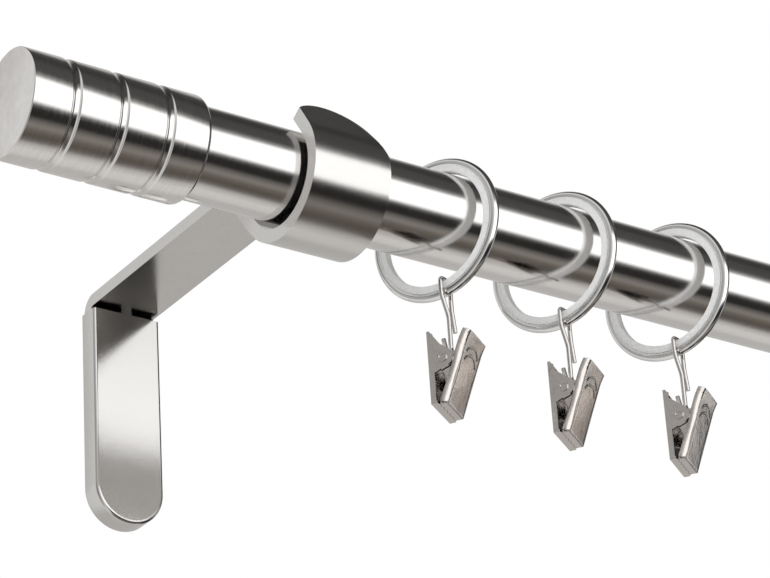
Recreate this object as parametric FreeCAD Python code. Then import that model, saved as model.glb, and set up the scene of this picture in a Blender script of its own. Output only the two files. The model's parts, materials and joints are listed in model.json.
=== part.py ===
"""Curtain rod with two open cradle brackets, two grooved finials and six clip rings.

Units are millimetres. X runs along the rod, +Y points into the wall and +Z is up.
The origin is the middle of the left bracket's screw holes, on the wall plane.
"""
import FreeCAD, Part
import math
import os

V = FreeCAD.Vector
X_AXIS = V(1, 0, 0)
Y_AXIS = V(0, 1, 0)
Z_AXIS = V(0, 0, 1)

# ---------------------------------------------------------------- driving sizes
# rod
ROD_LENGTH = 600.0
ROD_RADIUS = 14.0
ROD_WALL = 0.8
ROD_TO_WALL = 119.0        # rod axis to wall plane
ROD_HEIGHT = 31.0          # rod axis above the middle of the screw holes
BRACKET_INSET = 97.0       # rod end to bracket middle
BRACKET_COUNT = 2

# bracket bar, bent from one flat blank
BAR_THICKNESS = 4.2
ARM_WIDTH = 22.6
CRADLE_WIDTH = 26.3
ARM_UNDERSIDE = 8.6        # above the rod axis
ARM_BEND_RADIUS = 1.5      # inside radius of the bend at the wall
NECK_BEND_RADIUS = 4.0     # inside radius of the bend behind the cradle
CRADLE_CLEARANCE = 1.6     # cradle bore minus rod, on radius
CRADLE_SETBACK = 0.6       # cradle axis in front of the rod axis
CRADLE_DROP = 0.8          # cradle axis below the rod axis
BACK_TANGENT = 40.0        # degrees below the horizontal where the back run starts
TIP_TANGENT = 32.0         # degrees above the horizontal where the tip run starts
TIP_LENGTH = 8.0
TIP_CUT_TOP = (10.3, 4.3)  # highest point of the round tip: from the left edge, above the left corner
TIP_CUT_END = (22.8, -5.1) # end of the round part
TIP_CUT_EDGE = -14.4       # where the cut meets the right edge
TIP_CUT_MARGIN = 3.0
NECK_START = 17.0          # the blank narrows from here to NECK_END, behind the rod axis
NECK_END = 27.0
LEG_LENGTH = 73.0          # wall leg, from the arm's underside to its round end
SCREW_SPACING = 36.0
SCREW_HOLE_RADIUS = 2.5

# cover over the wall leg
COVER_WIDTH = 24.2
COVER_DEPTH = 7.5
COVER_WALL = 0.6
COVER_HEIGHT = 74.3
COVER_EDGE_RADIUS = 0.5
COVER_TOP_GAP = 1.6        # top edge below the arm, outside the middle tab
COVER_TAB_WIDTH = 3.6
COVER_TAB_GAP = 0.15
COVER_TRAVEL = 14.0

# soft strip in the cradle
PAD_ARC = 70.0
PAD_WIDTH = 16.0
PAD_ROD_GAP = 0.2
PAD_SEAT_GAP = 0.05

# finial
FINIAL_RADIUS = 16.3
FINIAL_LENGTH = 57.2
FINIAL_END_WALL = 2.0
FINIAL_BORE_GAP = 0.25
FINIAL_EDGE_RADIUS = 1.5
FINIAL_END_EDGE = 0.4
GROOVE_COUNT = 3
GROOVE_WIDTH = 3.0
GROOVE_DEPTH = 0.75
PLUG_FLANGE = 3.0
PLUG_LENGTH = 24.0
PLUG_WALL = 1.6
PLUG_GAP = 0.3
PLUG_END_GAP = 0.1         # rod end to plug disc
PLUG_RIB_COUNT = 4
PLUG_RIB_HEIGHT = 0.25

# curtain rings
RINGS_PER_SIDE = 3
FIRST_RING = 43.2          # bracket middle to the first ring
RING_SPACING = 44.6
RING_TURN = 18.0           # turn of a hanging ring about the vertical
RING_WIRE_RADIUS = 1.4
LINER_INNER_RADIUS = 18.4
LINER_THICKNESS = 1.95     # liner's bore to the wire
LINER_WIDTH = 2.8
LINER_EDGE_RADIUS = 0.3
LINER_LIP = 0.5            # liner's reach up the sides of the wire
RING_ROD_GAP = 0.2
FIT_GAP = 0.05

# wire link between ring and clip
LINK_LEAN = 6.0            # place of the link round the ring, in front of its lowest point
LINK_WIRE_RADIUS = 0.7
LINK_SIDE_GAP = 0.2
LINK_TOP_GAP = 0.15
LINK_PIN_GAP = 0.15
LINK_DROP = 28.6           # top wire to clip pin
LINK_SHIFT = 0.6           # long strand off the ring's middle plane
LINK_BEND_RADIUS = 1.0
LINK_TAIL_DROP = 11.0      # free end of the ring hook below the ring
LINK_TAIL_FLARE = 1.0      # how far that end stands out
LINK_TAIL_KNEE = 4.0       # where it starts to stand out
LINK_TAIL_RADIUS = 6.0
LINK_SIDE_RADIUS = 3.0     # bends of the long strand below the ring
LINK_CROSS_RADIUS = 5.0
LINK_CROSS_DROP = 6.4      # where the long strand comes back to the middle
LINK_STRAND_END = 5.6      # where it turns to go round the pin, above the pin
LINK_HOOK_RISE = 2.2       # straight sides of the small hook, above the pin
LINK_HOOK_RADIUS = 2.0
LINK_END_KNEE = (-1.1, 5.8)  # free end of the small hook: front, up
LINK_END = (-1.8, 9.6)
BEND_MARGIN = 0.001        # keeps the two bends of a half round apart
STRAND_FRONT = 0.4         # long strand in front of the clip pin

# clip
CLIP_TURN = 34.5           # turn of a hanging clip about the vertical
CLIP_PLATE = 0.8
CLIP_WIDTH = 15.2
BACK_JAW_WIDTH = 15.6
EAR_GAP = 0.15
PIN_RADIUS = 1.0
PIN_HEAD_RADIUS = 1.6
PIN_HEAD_HEIGHT = 0.5
BACK_FACE = -4.4           # outer face of the back jaw, in front of the pin
BACK_TOP = 9.2
JAW_BOTTOM = -14.3
BACK_FLANGE = 1.7
BACK_TOP_SLOPE = 1.0       # drop of the back flange's top edge
BACK_LIP_SLOPE = 0.4       # rise of its lower edge
EAR_RADIUS = 3.2
EAR_TOP = 6.3
EAR_BOTTOM = -4.5
EAR_TOP_TANGENT = (0.7, 0.72)      # where the ear's edges meet its round end, in ear radii
EAR_LOW_TANGENT = (0.2, -0.98)
FRONT_EAR_RADIUS = 2.6
FRONT_EAR_TANGENT = 0.8    # same for the front jaw's ear, in ear radii
FRONT_EAR_BACK = -0.9
FRONT_EAR_TOP_FRONT = 1.5  # front of that point, in front of the pin
FRONT_EAR_LOW = -1.2
THUMB_CORNERS = [(7.0, 4.7), (4.9, 1.5)]     # front flange's outline above the ear: front, up
WAIST_CORNERS = [(-0.2, -4.5), (0.9, -7.4)]  # and below it
FLANGE_END_INSET = 0.6     # flange ends short of the plate's ends
FLANGE_LIP_GAP = 0.4       # flange ends in front of the parting
FLANGE_LIP_RISE = 0.9
FRONT_TOP = (8.6, 7.6)     # outer face of the front jaw: front, up
FRONT_BOTTOM = (0.35, -14.3)
JAW_PARTING = -2.05        # where the two lips meet
TOOTH_COUNT = 6
TOOTH_DEPTH = 0.6
JAW_GAP = 0.12
LIP_INSET = 0.3            # front lip's root behind the front plate's outer face
RIB_FIRST = 3.6            # first grip rib from the front jaw's top end
RIB_SPACING = 2.6
RIB_ARC_RADIUS = 5.2
RIB_ARC = 110.0
RIB_RADIUS = 0.55
RIB_SINK = 0.3             # rib's middle below the outer face, in rib radii
PIN_DIMPLE_RADIUS = 0.8
PIN_DIMPLE_DEPTH = 0.4
SPRING_WIRE_RADIUS = 0.3
SPRING_TURNS = 5
SPRING_BORE_GAP = 0.2
SPRING_SIDE_GAP = 0.4
SPRING_LEG = 6.0
BACK_LEG_LEAN = 0.26       # how far each leg leans out for its rise
FRONT_LEG_LEAN = 0.9

# ---------------------------------------------------------------- derived places
LEFT_BRACKET_X = 0.0
BRACKET_PITCH = ROD_LENGTH - 2 * BRACKET_INSET
BRACKET_X = [LEFT_BRACKET_X + BRACKET_PITCH * i / (BRACKET_COUNT - 1) for i in range(BRACKET_COUNT)]
SIDE_NAMES = ["left", "right"]
ROD_LEFT_END = LEFT_BRACKET_X - BRACKET_INSET
ROD_Y = -ROD_TO_WALL
ROD_Z = ROD_HEIGHT
CRADLE_Y = ROD_Y - CRADLE_SETBACK
CRADLE_Z = ROD_Z - CRADLE_DROP
CRADLE_RADIUS = ROD_RADIUS + CRADLE_CLEARANCE
ARM_BOTTOM_Z = ROD_Z + ARM_UNDERSIDE
RING_CENTRE_Z = ROD_Z + ROD_RADIUS + RING_ROD_GAP - LINER_INNER_RADIUS
RING_WIRE_CENTRE = LINER_INNER_RADIUS + LINER_THICKNESS + RING_WIRE_RADIUS
FINIAL_LEFT_END = ROD_LEFT_END - FINIAL_END_WALL - FIT_GAP - PLUG_FLANGE - PLUG_END_GAP


def ring_places():
    """Distance of every ring along the rod, from the left."""
    left = [BRACKET_X[0] + FIRST_RING + RING_SPACING * i for i in range(RINGS_PER_SIDE)]
    right = [BRACKET_X[-1] - FIRST_RING - RING_SPACING * i for i in range(RINGS_PER_SIDE)]
    return left + right[::-1]


def ring_names():
    """Number of every ring, from the left."""
    return [str(i + 1) for i in range(2 * RINGS_PER_SIDE)]


# ---------------------------------------------------------------- helpers
def save(name, shapes):
    """Write one node as a STEP file."""
    solids = shapes if isinstance(shapes, list) else [shapes]
    shape = solids[0] if len(solids) == 1 else Part.makeCompound(solids)
    shape.exportStep(os.path.join("parts", name + ".step"))
    volumes = [round(s.Volume, 2) for s in shape.Solids]
    print(name, "solids", len(shape.Solids), "valid", shape.isValid(), "volume", volumes)


def circle_point(centre, radius, degrees):
    """Point (y, z) on a circle, measured from +Y towards +Z."""
    angle = math.radians(degrees)
    return (centre[0] + radius * math.cos(angle), centre[1] + radius * math.sin(angle))


def extrude_yz(points, x_start, x_end):
    """Prism along X from a polygon of (y, z) points."""
    corners = [V(x_start, y, z) for y, z in points]
    face = Part.Face(Part.makePolygon(corners + corners[:1]))
    return face.extrude(V(x_end - x_start, 0, 0))


def straight_bar(start, end, thickness, x_start, x_end):
    """Flat run of bar between two mid-line points (y, z)."""
    dy, dz = end[0] - start[0], end[1] - start[1]
    length = math.hypot(dy, dz)
    ny, nz = -dz / length * thickness / 2, dy / length * thickness / 2
    points = [(start[0] + ny, start[1] + nz), (end[0] + ny, end[1] + nz),
              (end[0] - ny, end[1] - nz), (start[0] - ny, start[1] - nz)]
    return extrude_yz(points, x_start, x_end)


def bent_bar(centre, mid_radius, thickness, start_degrees, end_degrees, x_start, x_end):
    """Round run of bar about a centre (y, z), between two angles from +Y towards +Z."""
    inner = mid_radius - thickness / 2
    outer = mid_radius + thickness / 2
    middle = (start_degrees + end_degrees) / 2

    def at(radius, degrees):
        y, z = circle_point(centre, radius, degrees)
        return V(x_start, y, z)

    edges = [
        Part.Arc(at(outer, start_degrees), at(outer, middle), at(outer, end_degrees)).toShape(),
        Part.makeLine(at(outer, end_degrees), at(inner, end_degrees)),
        Part.Arc(at(inner, end_degrees), at(inner, middle), at(inner, start_degrees)).toShape(),
        Part.makeLine(at(inner, start_degrees), at(outer, start_degrees)),
    ]
    return Part.Face(Part.Wire(edges)).extrude(V(x_end - x_start, 0, 0))


def revolve_x(points, x_origin):
    """Solid of revolution about the rod axis from (x, radius) points; a triple marks an arc's middle."""
    def place(point):
        return V(x_origin + point[0], ROD_Y, ROD_Z + point[1])

    edges = []
    index = 0
    while index < len(points):
        start = points[index]
        nxt = points[(index + 1) % len(points)]
        if len(nxt) == 3:
            end = points[(index + 2) % len(points)]
            edges.append(Part.Arc(place(start), place(nxt), place(end)).toShape())
            index += 2
        else:
            edges.append(Part.makeLine(place(start), place(nxt)))
            index += 1
    face = Part.Face(Part.Wire(edges))
    return face.revolve(V(0, ROD_Y, ROD_Z), X_AXIS, 360)


def rounded_path(points, radii):
    """Wire through 3-D points with a tangent arc at every inner point."""
    edges = []
    start = points[0]
    for i in range(1, len(points) - 1):
        before = (points[i - 1] - points[i]).normalize()
        after = (points[i + 1] - points[i]).normalize()
        half = before.getAngle(after) / 2
        reach = radii[i - 1] / math.tan(half)
        enter = points[i] + before * reach
        leave = points[i] + after * reach
        bisector = (before + after).normalize()
        middle = points[i] + bisector * (radii[i - 1] / math.sin(half) - radii[i - 1])
        if (enter - start).Length > 0.001:
            edges.append(Part.makeLine(start, enter))
        edges.append(Part.Arc(enter, middle, leave).toShape())
        start = leave
    edges.append(Part.makeLine(start, points[-1]))
    return Part.Wire(edges)


def round_wire(points, radii, wire_radius):
    """Round bar bent along a path."""
    path = rounded_path(points, radii)
    direction = points[1] - points[0]
    section = Part.Wire([Part.makeCircle(wire_radius, points[0], direction)])
    return path.makePipeShell([section], True, False)


# ---------------------------------------------------------------- bracket
def bar_corners():
    """Mid-line points (y, z) of the bar, from the cradle to the end of the wall leg."""
    centre = (CRADLE_Y, CRADLE_Z)
    mid_radius = CRADLE_RADIUS + BAR_THICKNESS / 2
    back = circle_point(centre, mid_radius, -BACK_TANGENT)
    tip = circle_point(centre, mid_radius, 180 - TIP_TANGENT)
    arm_z = ARM_BOTTOM_Z + BAR_THICKNESS / 2
    rise = math.radians(90 - BACK_TANGENT)
    neck = (back[0] + (arm_z - back[1]) / math.tan(rise), arm_z)
    wall = (-BAR_THICKNESS / 2, arm_z)
    foot = (-BAR_THICKNESS / 2, ARM_BOTTOM_Z - LEG_LENGTH)
    return tip, back, neck, wall, foot


def tip_frame(bracket_x):
    """Left corner of the tip's outer face, its run direction and its outward normal."""
    angle = math.radians(TIP_TANGENT)
    along = V(0, math.sin(angle), math.cos(angle))
    outward = V(0, -math.cos(angle), math.sin(angle))
    y, z = circle_point((CRADLE_Y, CRADLE_Z), CRADLE_RADIUS + BAR_THICKNESS, 180 - TIP_TANGENT)
    corner = V(bracket_x - CRADLE_WIDTH / 2, y, z) + along * TIP_LENGTH
    return corner, along, outward


def tip_cutter(bracket_x):
    """Block that trims the tip to its round, one-sided outline."""
    corner, along, outward = tip_frame(bracket_x)
    depth = BAR_THICKNESS + TIP_CUT_MARGIN

    def at(x, v):
        return corner + X_AXIS * x + along * v - outward * depth

    end_x, end_v = TIP_CUT_END
    side_slope = (TIP_CUT_EDGE - end_v) / (CRADLE_WIDTH - end_x)
    far_x = CRADLE_WIDTH + TIP_CUT_MARGIN
    far_v = TIP_CUT_EDGE + side_slope * TIP_CUT_MARGIN
    edges = [
        Part.makeLine(at(-TIP_CUT_MARGIN, TIP_CUT_TOP[1] * 2), at(-TIP_CUT_MARGIN, 0)),
        Part.makeLine(at(-TIP_CUT_MARGIN, 0), at(0, 0)),
        Part.Arc(at(0, 0), at(*TIP_CUT_TOP), at(end_x, end_v)).toShape(),
        Part.makeLine(at(end_x, end_v), at(far_x, far_v)),
        Part.makeLine(at(far_x, far_v), at(far_x, TIP_CUT_TOP[1] * 2)),
        Part.makeLine(at(far_x, TIP_CUT_TOP[1] * 2), at(-TIP_CUT_MARGIN, TIP_CUT_TOP[1] * 2)),
    ]
    return Part.Face(Part.Wire(edges)).extrude(outward * (depth + TIP_CUT_MARGIN))


def plan_outline(bracket_x):
    """Plan of the flat blank: wide head, taper, narrow arm."""
    head = CRADLE_WIDTH / 2
    arm = ARM_WIDTH / 2
    front = CRADLE_Y - 2 * CRADLE_RADIUS
    points = [(-head, front), (-head, ROD_Y + NECK_START), (-arm, ROD_Y + NECK_END), (-arm, 1.0),
              (arm, 1.0), (arm, ROD_Y + NECK_END), (head, ROD_Y + NECK_START), (head, front)]
    low = ARM_BOTTOM_Z - 2 * LEG_LENGTH
    corners = [V(bracket_x + x, y, low) for x, y in points]
    return Part.Face(Part.makePolygon(corners + corners[:1])).extrude(V(0, 0, 4 * LEG_LENGTH))


def round_foot(bracket_x, half_width, foot_z, y_start, y_end):
    """Upright slab with a half-round lower end."""
    height = 4 * LEG_LENGTH
    slab = Part.makeBox(2 * half_width, y_end - y_start, height,
                        V(bracket_x - half_width, y_start, foot_z + half_width))
    disc = Part.makeCylinder(half_width, y_end - y_start,
                             V(bracket_x, y_start, foot_z + half_width), Y_AXIS)
    return slab.fuse(disc).removeSplitter()


def bracket_bar(bracket_x):
    """One bent flat bar: tip, cradle, back run, arm and wall leg."""
    tip, back, neck, wall, foot = bar_corners()
    left = bracket_x - CRADLE_WIDTH / 2
    right = bracket_x + CRADLE_WIDTH / 2
    mid_radius = CRADLE_RADIUS + BAR_THICKNESS / 2
    rise = 90 - BACK_TANGENT
    tip_angle = math.radians(TIP_TANGENT)
    tip_reach = TIP_LENGTH + TIP_CUT_TOP[1] + 1
    tip_end = (tip[0] + math.sin(tip_angle) * tip_reach, tip[1] + math.cos(tip_angle) * tip_reach)

    neck_radius = NECK_BEND_RADIUS + BAR_THICKNESS / 2
    neck_reach = neck_radius * math.tan(math.radians(rise) / 2)
    rise_angle = math.radians(rise)
    neck_in = (neck[0] - neck_reach * math.cos(rise_angle), neck[1] - neck_reach * math.sin(rise_angle))
    neck_out = (neck[0] + neck_reach, neck[1])
    neck_centre = (neck_out[0], neck_out[1] - neck_radius)

    wall_radius = ARM_BEND_RADIUS + BAR_THICKNESS / 2
    wall_in = (wall[0] - wall_radius, wall[1])
    wall_out = (wall[0], wall[1] - wall_radius)
    wall_centre = (wall_in[0], wall_out[1])

    pieces = [
        straight_bar(tip, tip_end, BAR_THICKNESS, left, right),
        bent_bar((CRADLE_Y, CRADLE_Z), mid_radius, BAR_THICKNESS, 180 - TIP_TANGENT, 360 - BACK_TANGENT,
                 left, right),
        straight_bar(back, neck_in, BAR_THICKNESS, left, right),
        bent_bar(neck_centre, neck_radius, BAR_THICKNESS, 90, 90 + rise, left, right),
        straight_bar(neck_out, wall_in, BAR_THICKNESS, left, right),
        bent_bar(wall_centre, wall_radius, BAR_THICKNESS, 0, 90, left, right),
        straight_bar(wall_out, foot, BAR_THICKNESS, left, right),
    ]
    bar = pieces[0].multiFuse(pieces[1:]).removeSplitter()
    bar = bar.common(plan_outline(bracket_x))
    bar = bar.cut(tip_cutter(bracket_x))
    foot_slab = round_foot(bracket_x, ARM_WIDTH / 2, ARM_BOTTOM_Z - LEG_LENGTH, -BAR_THICKNESS - 1, 1)
    above = Part.makeBox(4 * CRADLE_WIDTH, 2 * ROD_TO_WALL, 4 * LEG_LENGTH,
                         V(bracket_x - 2 * CRADLE_WIDTH, -2 * ROD_TO_WALL, ARM_BOTTOM_Z - LEG_LENGTH / 2))
    keep = foot_slab.fuse(above)
    keep = keep.fuse(Part.makeBox(4 * CRADLE_WIDTH, ROD_TO_WALL, 4 * LEG_LENGTH,
                                  V(bracket_x - 2 * CRADLE_WIDTH, -ROD_TO_WALL - COVER_DEPTH - CRADLE_RADIUS,
                                    ROD_Z - 2 * LEG_LENGTH)))
    bar = bar.common(keep)
    for side in (-1, 1):
        start = V(bracket_x, -BAR_THICKNESS - 1, side * SCREW_SPACING / 2)
        bar = bar.cut(Part.makeCylinder(SCREW_HOLE_RADIUS, BAR_THICKNESS + 2, start, Y_AXIS))
    return bar.removeSplitter()


def bracket_cover(bracket_x):
    """Shell that slips over the wall leg, with a middle tab under the arm."""
    half = COVER_WIDTH / 2
    top = ARM_BOTTOM_Z - COVER_TOP_GAP
    foot = ARM_BOTTOM_Z - COVER_HEIGHT
    trim = Part.makeBox(2 * COVER_WIDTH, 2 * COVER_DEPTH, COVER_HEIGHT - COVER_TOP_GAP,
                        V(bracket_x - COVER_WIDTH, -COVER_DEPTH, foot))
    outer = round_foot(bracket_x, half, foot, -COVER_DEPTH, 0).common(trim)
    front_edges = [e for e in outer.Edges
                   if e.BoundBox.YMax < -COVER_DEPTH + 0.01 and e.BoundBox.ZMin < top - 0.01]
    outer = outer.makeFillet(COVER_EDGE_RADIUS, front_edges)
    inner = round_foot(bracket_x, half - COVER_WALL, foot + COVER_WALL, COVER_WALL - COVER_DEPTH, 1)
    shell = outer.cut(inner)
    tab_height = COVER_TOP_GAP - COVER_TAB_GAP + 1
    tab = Part.makeBox(COVER_TAB_WIDTH, COVER_WALL, tab_height,
                       V(bracket_x - COVER_TAB_WIDTH / 2, -COVER_DEPTH, top - 1))
    return shell.fuse(tab).removeSplitter()


def cradle_pad(bracket_x):
    """Soft strip that fills the trough under the rod."""
    start = V(bracket_x - PAD_WIDTH / 2, CRADLE_Y, CRADLE_Z)
    outer = Part.makeCylinder(CRADLE_RADIUS - PAD_SEAT_GAP, PAD_WIDTH, start, X_AXIS)
    rod_start = V(bracket_x - PAD_WIDTH, ROD_Y, ROD_Z)
    rod_space = Part.makeCylinder(ROD_RADIUS + PAD_ROD_GAP, 2 * PAD_WIDTH, rod_start, X_AXIS)
    reach = 2 * CRADLE_RADIUS
    spread = reach * math.tan(math.radians(PAD_ARC / 2))
    wedge = extrude_yz([(CRADLE_Y, CRADLE_Z), (CRADLE_Y - spread, CRADLE_Z - reach),
                        (CRADLE_Y + spread, CRADLE_Z - reach)],
                       bracket_x - PAD_WIDTH, bracket_x + PAD_WIDTH)
    return outer.cut(rod_space).common(wedge)


# ---------------------------------------------------------------- rod and finials
def rod_tube():
    """Steel tube."""
    start = V(ROD_LEFT_END, ROD_Y, ROD_Z)
    outer = Part.makeCylinder(ROD_RADIUS, ROD_LENGTH, start, X_AXIS)
    inner = Part.makeCylinder(ROD_RADIUS - ROD_WALL, ROD_LENGTH, start, X_AXIS)
    return outer.cut(inner)


def finial_cap():
    """Left cap: flat end, lands parted by shallow round grooves, bore over the rod."""
    bore = ROD_RADIUS + FINIAL_BORE_GAP
    land = (FINIAL_LENGTH - GROOVE_COUNT * GROOVE_WIDTH) / (GROOVE_COUNT + 1)
    points = [(0, 0), (0, FINIAL_RADIUS - FINIAL_END_EDGE), (FINIAL_END_EDGE, FINIAL_RADIUS)]
    for i in range(GROOVE_COUNT):
        start = land * (i + 1) + GROOVE_WIDTH * i
        points.append((start, FINIAL_RADIUS))
        points.append((start + GROOVE_WIDTH / 2, FINIAL_RADIUS - GROOVE_DEPTH, "arc"))
        points.append((start + GROOVE_WIDTH, FINIAL_RADIUS))
    corner = FINIAL_EDGE_RADIUS * (1 - math.sqrt(0.5))
    points.append((FINIAL_LENGTH - FINIAL_EDGE_RADIUS, FINIAL_RADIUS))
    points.append((FINIAL_LENGTH - corner, FINIAL_RADIUS - corner, "arc"))
    points.append((FINIAL_LENGTH, FINIAL_RADIUS - FINIAL_EDGE_RADIUS))
    points.append((FINIAL_LENGTH, bore))
    points.append((FINIAL_END_WALL, bore))
    points.append((FINIAL_END_WALL, 0))
    return revolve_x(points, FINIAL_LEFT_END)


def finial_plug():
    """Left plug: disc against the cap's end wall and a ribbed cup inside the tube."""
    disc = ROD_RADIUS + FINIAL_BORE_GAP - FIT_GAP
    spigot = ROD_RADIUS - ROD_WALL - PLUG_GAP
    back = FINIAL_END_WALL + FIT_GAP
    front = back + PLUG_FLANGE
    end = front + PLUG_LENGTH
    pitch = PLUG_LENGTH / (PLUG_RIB_COUNT + 1)
    points = [(back, 0), (back, disc), (front, disc), (front, spigot)]
    for i in range(PLUG_RIB_COUNT):
        x = front + pitch * (i + 1)
        points.append((x - PLUG_RIB_HEIGHT, spigot))
        points.append((x, spigot + PLUG_RIB_HEIGHT))
        points.append((x + PLUG_RIB_HEIGHT, spigot))
    points.append((end, spigot))
    points.append((end, spigot - PLUG_WALL))
    points.append((front, spigot - PLUG_WALL))
    points.append((front, 0))
    return revolve_x(points, FINIAL_LEFT_END)


def mirrored(shape):
    """The same piece at the rod's other end."""
    middle = V(ROD_LEFT_END + ROD_LENGTH / 2, 0, 0)
    return shape.mirror(middle, X_AXIS)


# ---------------------------------------------------------------- curtain rings
def ring_axis():
    """Axis of a hanging ring."""
    angle = math.radians(RING_TURN)
    return V(math.cos(angle), math.sin(angle), 0)


def ring_side():
    """Level direction in the ring's plane, pointing back."""
    angle = math.radians(RING_TURN)
    return V(-math.sin(angle), math.cos(angle), 0)


def ring_wire(ring_x):
    """Closed ring of bright wire."""
    return Part.makeTorus(RING_WIRE_CENTRE, RING_WIRE_RADIUS, V(ring_x, ROD_Y, RING_CENTRE_Z), ring_axis())


def ring_liner(ring_x):
    """Plastic band inside the ring, grooved to hold the wire."""
    centre = V(ring_x, ROD_Y, RING_CENTRE_Z)
    start = centre - ring_axis() * (LINER_WIDTH / 2)
    outer_radius = LINER_INNER_RADIUS + LINER_THICKNESS + LINER_LIP
    outer = Part.makeCylinder(outer_radius, LINER_WIDTH, start, ring_axis())
    inner = Part.makeCylinder(LINER_INNER_RADIUS, LINER_WIDTH, start, ring_axis())
    band = outer.cut(inner)
    bore_edges = [e for e in band.Edges
                  if hasattr(e.Curve, "Radius") and abs(e.Curve.Radius - LINER_INNER_RADIUS) < 0.01]
    band = band.makeFillet(LINER_EDGE_RADIUS, bore_edges)
    groove = Part.makeTorus(RING_WIRE_CENTRE, RING_WIRE_RADIUS + FIT_GAP, centre, ring_axis())
    return band.cut(groove)


# ---------------------------------------------------------------- link and clip places
def link_top(ring_x):
    """Middle of the link's top run, where it crosses the liner."""
    lean = math.radians(LINK_LEAN)
    radius = LINER_INNER_RADIUS - LINK_WIRE_RADIUS - LINK_TOP_GAP
    centre = V(ring_x, ROD_Y, RING_CENTRE_Z)
    return centre - ring_side() * (radius * math.sin(lean)) - Z_AXIS * (radius * math.cos(lean))


def clip_front():
    """Direction that the clip's front jaw faces."""
    angle = math.radians(CLIP_TURN)
    return V(math.sin(angle), -math.cos(angle), 0)


def clip_pin_place(ring_x):
    """Middle of the clip's pin."""
    return (link_top(ring_x) + ring_axis() * LINK_SHIFT - clip_front() * STRAND_FRONT
            - Z_AXIS * LINK_DROP)


def link_wire(ring_x):
    """Bent wire: a long hook over the ring and a small hook under the clip's pin."""
    top = link_top(ring_x)
    pin = clip_pin_place(ring_x)
    across = LINER_WIDTH / 2 + LINK_SIDE_GAP + LINK_WIRE_RADIUS
    around = PIN_RADIUS + LINK_PIN_GAP + LINK_WIRE_RADIUS
    ring_depth = LINER_THICKNESS + 2 * RING_WIRE_RADIUS + LINK_TOP_GAP + LINK_WIRE_RADIUS

    def ring_plane(s, drop):
        return top + ring_axis() * s - Z_AXIS * drop

    def clip_plane(front, rise):
        return pin + clip_front() * front + Z_AXIS * rise

    points = [
        ring_plane(across + LINK_TAIL_FLARE, ring_depth + LINK_TAIL_DROP),
        ring_plane(across, ring_depth + LINK_TAIL_KNEE),
        ring_plane(across, 0),
        ring_plane(-across, 0),
        ring_plane(-across, ring_depth),
        ring_plane(LINK_SHIFT, ring_depth + LINK_CROSS_DROP),
        clip_plane(STRAND_FRONT, LINK_STRAND_END),
        clip_plane(around, LINK_HOOK_RISE),
        clip_plane(around, -around),
        clip_plane(-around, -around),
        clip_plane(-around, LINK_HOOK_RISE),
        clip_plane(*LINK_END_KNEE),
        clip_plane(*LINK_END),
    ]
    half_round = around - BEND_MARGIN
    radii = [LINK_TAIL_RADIUS, LINK_BEND_RADIUS, LINK_BEND_RADIUS, LINK_SIDE_RADIUS, LINK_CROSS_RADIUS,
             LINK_HOOK_RADIUS, LINK_HOOK_RADIUS, half_round, half_round, LINK_HOOK_RADIUS,
             LINK_HOOK_RADIUS]
    return round_wire(points, radii, LINK_WIRE_RADIUS)


# ---------------------------------------------------------------- clip
# Clip pieces are drawn with the pin along X and the front jaw towards -Y, then placed.
def clip_prism(points, x_start, x_end):
    """Prism along the pin from a polygon of (front, up) points."""
    return extrude_yz([(-front, up) for front, up in points], x_start, x_end)


def place_clip(shape, ring_x):
    """Turn and carry a drawn clip piece to its ring."""
    placed = shape.copy()
    placed.rotate(V(0, 0, 0), Z_AXIS, CLIP_TURN)
    placed.translate(clip_pin_place(ring_x))
    return placed


def pin_disc(radius, x_start, x_end):
    """Disc or hole about the pin."""
    return Part.makeCylinder(radius, x_end - x_start, V(x_start, 0, 0), X_AXIS)


def tooth_row(root_front, edge_front, half_width):
    """Lip with a zigzag edge, in step with the other jaw's lip."""
    tooth_half = CLIP_WIDTH / 2
    pitch = 2 * tooth_half / TOOTH_COUNT
    points = [(-half_width, root_front)]
    if half_width > tooth_half:
        points.append((-half_width, edge_front))
    for i in range(TOOTH_COUNT):
        x = -tooth_half + pitch * i
        points.append((x, edge_front))
        points.append((x + pitch / 2, edge_front + TOOTH_DEPTH))
    points.append((tooth_half, edge_front))
    if half_width > tooth_half:
        points.append((half_width, edge_front))
    points.append((half_width, root_front))
    corners = [V(x, -front, JAW_BOTTOM) for x, front in points]
    return Part.Face(Part.makePolygon(corners + corners[:1])).extrude(V(0, 0, CLIP_PLATE))


def clip_back_jaw():
    """Back plate with two side flanges, two ears and a toothed lip."""
    half = BACK_JAW_WIDTH / 2
    inside = BACK_FACE + CLIP_PLATE
    flange = BACK_FACE + BACK_FLANGE
    ear_top = tuple(EAR_RADIUS * v for v in EAR_TOP_TANGENT)
    ear_low = tuple(EAR_RADIUS * v for v in EAR_LOW_TANGENT)
    plate = clip_prism([(BACK_FACE, BACK_TOP), (inside, BACK_TOP), (inside, JAW_BOTTOM),
                        (BACK_FACE, JAW_BOTTOM)], -half, half)
    pieces = []
    for x_start in (-half, half - CLIP_PLATE):
        x_end = x_start + CLIP_PLATE
        pieces.append(clip_prism([(BACK_FACE, BACK_TOP), (flange, BACK_TOP - BACK_TOP_SLOPE),
                                  (flange, JAW_BOTTOM + BACK_LIP_SLOPE), (BACK_FACE, JAW_BOTTOM)],
                                 x_start, x_end))
        pieces.append(clip_prism([(inside, EAR_TOP), (flange, EAR_TOP), ear_top, ear_low,
                                  (flange, EAR_BOTTOM), (inside, EAR_BOTTOM)], x_start, x_end))
        pieces.append(pin_disc(EAR_RADIUS, x_start, x_end))
    pieces.append(tooth_row(BACK_FACE, JAW_PARTING - JAW_GAP / 2 - TOOTH_DEPTH / 2, half))
    jaw = plate.multiFuse(pieces)
    jaw = jaw.cut(pin_disc(PIN_RADIUS + FIT_GAP, -half - 1, half + 1))
    return jaw.removeSplitter()


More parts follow.
